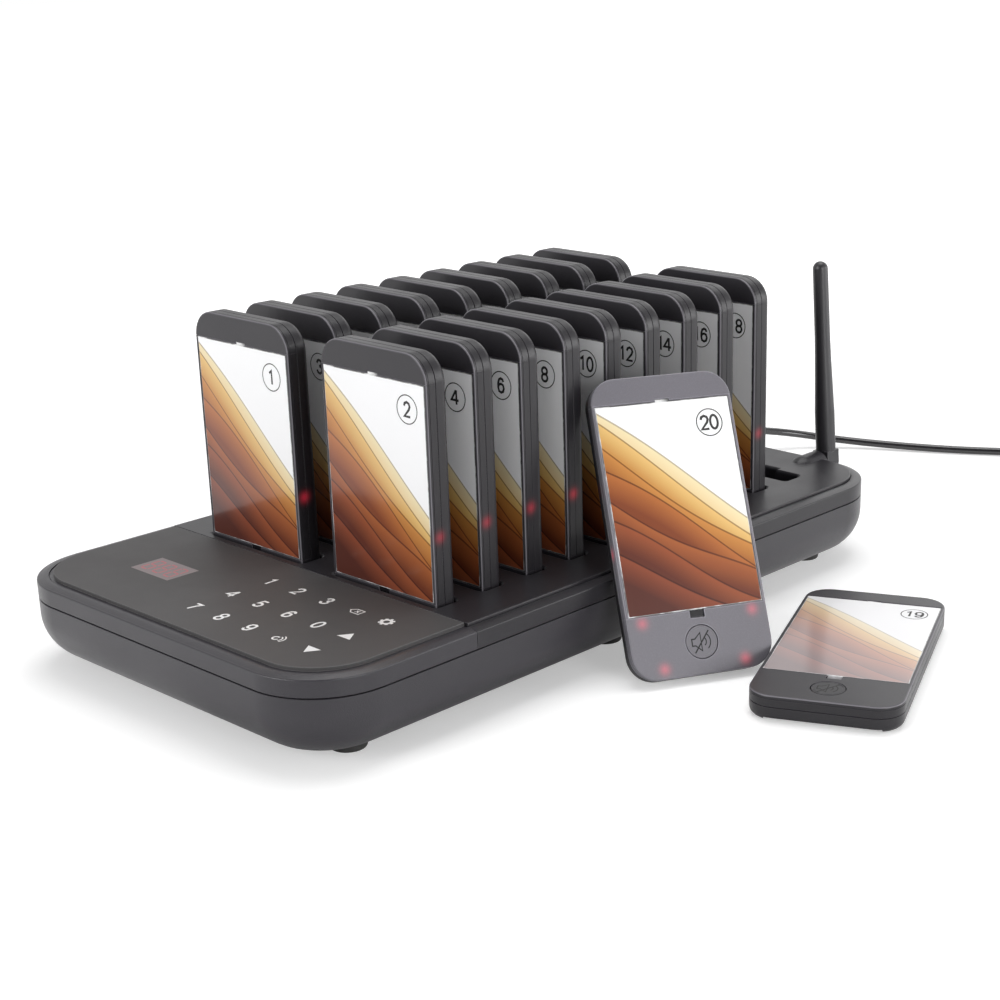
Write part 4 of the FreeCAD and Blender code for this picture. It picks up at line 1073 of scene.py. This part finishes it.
for middle_height, lean, swell, waves, shift, crest, foot in dunes:
    swing = reckon(dune_card, given["Across"], ("MULTIPLY", waves), ("ADD", shift), ("SINE",),
                   ("MULTIPLY", swell))
    fall = reckon(dune_card, given["Across"], ("SUBTRACT", 0.5), ("MULTIPLY", lean))
    depth = reckon(dune_card, swing, ("ADD", fall), ("ADD", middle_height), ("SUBTRACT", given["Up"]))
    under = spread(dune_card, depth, 0.0, 0.004, 0.0, 1.0)
    shade = spread(dune_card, depth, 0.0, 0.13, 0.0, 1.0)
    laid = blend(dune_card, under, colour, blend(dune_card, shade, crest, foot))
    crest_line = spread(dune_card, math_node(dune_card, "ABSOLUTE", depth), 0.0035, 0.006, 0.75, 0.0)
    colour = blend(dune_card, crest_line, laid, [part * 0.45 for part in foot])
fill(dune_card, end, {"Colour": colour})


def card_finish(name, painted_glare):
    """The printed card under its clear window, with a painted glare: a share of pale grey standing in for
    the reflection on the window.
    """
    finish, tree, shader = new_finish(name)
    spot = place_vector(tree)
    axes = new_node(tree, "SeparateXYZ", {0: spot})
    x, z = axes.outputs["X"], axes.outputs["Z"]
    half = WINDOW_WIDE / 2 * mm
    across = spread(tree, x, -half, half, 0.0, 1.0, clamp=False)
    up = spread(tree, z, SILL * mm, WINDOW_TOP * mm, 0.0, 1.0, clamp=False)
    art = group_node(tree, dune_card, {"Across": across, "Up": up})["Colour"]

    # A painted highlight: the card is lightened in speckled patches all round its border, where the window's
    # cut rim would catch the light.
    side_way = reckon(tree, x, ("ABSOLUTE",), ("SUBTRACT", 27.1 * mm))
    tall_way = reckon(tree, z, ("SUBTRACT", (SILL + WINDOW_TALL / 2) * mm), ("ABSOLUTE",),
                      ("SUBTRACT", (WINDOW_TALL / 2 - 0.4) * mm))
    rim = reckon(tree, side_way, ("MAXIMUM", tall_way), ("GREATER_THAN", 0.0))
    painted_rim_highlight = spread(tree, speck(tree, 130, spot), 0.45, 0.6, 0.22, 0.85)
    below = math_node(tree, "LESS_THAN", z, (SILL - 0.05) * mm)
    latch = blend(tree, below, blend(tree, rim, art, painted_rim_highlight), (0.012, 0.011, 0.013))
    # The pale grey blended in by the given share is a painted reflection on the window.
    fill(tree, shader, {
        "Base Color": blend(tree, painted_glare, latch, (0.75, 0.73, 0.76)),
        "Roughness": spread(tree, speck(tree, 60, spot), 0.0, 1.0, 0.26, 0.36),
        "Specular IOR Level": 0.15,
        "Coat Weight": 0.8,
        "Coat Roughness": 0.12,
    })
    return finish


window_finish = card_finish("card_under_window", 0.0)
glare_painted_window = card_finish("card_under_painted_glare", 0.3)

ink_finish = moulded_plastic("number_ink", (0.02, 0.018, 0.018), (0.03, 0.03, 0.03), 0.5, 0.05)

for piece, finishes in ((front_shell, [docked_plastic]), (rear_shell, [docked_plastic]), (pad_pair, [gilt]),
                        (window, [window_finish]), (card, [window_finish]), (button, [button_plastic]),
                        (mute_mark, [engraving_shade])):
    finish_mould(piece, finishes)
    piece.data.transform(Matrix.Translation(-middle))
button = join_pieces("pager_mute", [button, mute_mark])
rear_shell = join_pieces("pager_rear", [rear_shell, pad_pair])
window = join_pieces("pager_window", [window, card])


def number_mark(number):
    """The pager's number in a ring, printed at the card's upper right."""
    ring = drawn_line(arc_points(0, 0, 5.3, 0, 360, 36)[:-1], 0.42, True)
    digits = figures(str(number), 5.4, 0.95)
    stand_up = Matrix.Translation(Vector((18, 0.09, SILL + 71.5)) * mm) @ turn_about("X", 90)
    mark = join_pieces("number", ring + digits, stand_up)
    mark.data.materials.append(ink_finish)
    return mark


def copy_piece(piece, name):
    """A copy of a piece with a mesh of its own."""
    twin = piece.copy()
    twin.data = piece.data.copy()
    twin.name = name
    bpy.context.scene.collection.objects.link(twin)
    return twin


def keep_place(piece):
    """Stores where each point lies in the pager's own frame, for the pattern and the glow."""
    place = piece.data.attributes.new("place", "FLOAT_VECTOR", "POINT")
    for vertex, value in zip(piece.data.vertices, place.data):
        value.vector = vertex.co


for piece in (front_shell, rear_shell, window, button):
    keep_place(piece)
docked_turn = Matrix.Identity(4)
leaning_turn = turn_about("Z", 61.5) @ turn_about("X", -26.5)
lying_turn = turn_about("Z", 24.3) @ turn_about("X", -90)
button_middle = Vector((0, 1.2, BUTTON_Z)) * mm

for number in range(1, 21):
    name = "pager_%02d" % number
    turn = {19: lying_turn, 20: leaning_turn}.get(number, docked_turn)
    low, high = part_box(name + "_mute_button")
    place = Matrix.Translation((low + high) / 2 - turn @ button_middle) @ turn
    front = copy_piece(front_shell, name + "_front")
    rear = copy_piece(rear_shell, name + "_rear")
    glass = copy_piece(window, name + "_card_window")
    glass = join_pieces(glass.name, [glass, number_mark(number)])
    mute = copy_piece(button, name + "_mute")
    if number > 18:
        kinds = (lying_plastic, button_plastic) if number == 19 else (calling_sheen_plastic, calling_sheen_button)
        front.data.materials[0], mute.data.materials[0] = kinds
        rear.data.materials[0] = lying_plastic
        if number == 19:
            # Pager 19 lies face up, and its card is washed with the painted glare.
            glass.data.materials[0] = glare_painted_window
    for piece in (front, rear, glass, mute):
        piece.data.transform(place)
    for piece in (front, rear, glass):
        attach(piece, name)
    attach(mute, name + "_mute")
    if number <= 18:
        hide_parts(name)
    else:
        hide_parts(name + "_front_shell")
        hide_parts(name + "_rear_shell")
        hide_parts(name + "_window")
    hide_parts(name + "_mute_button")
for piece in (front_shell, rear_shell, window, button):
    bpy.data.objects.remove(piece)
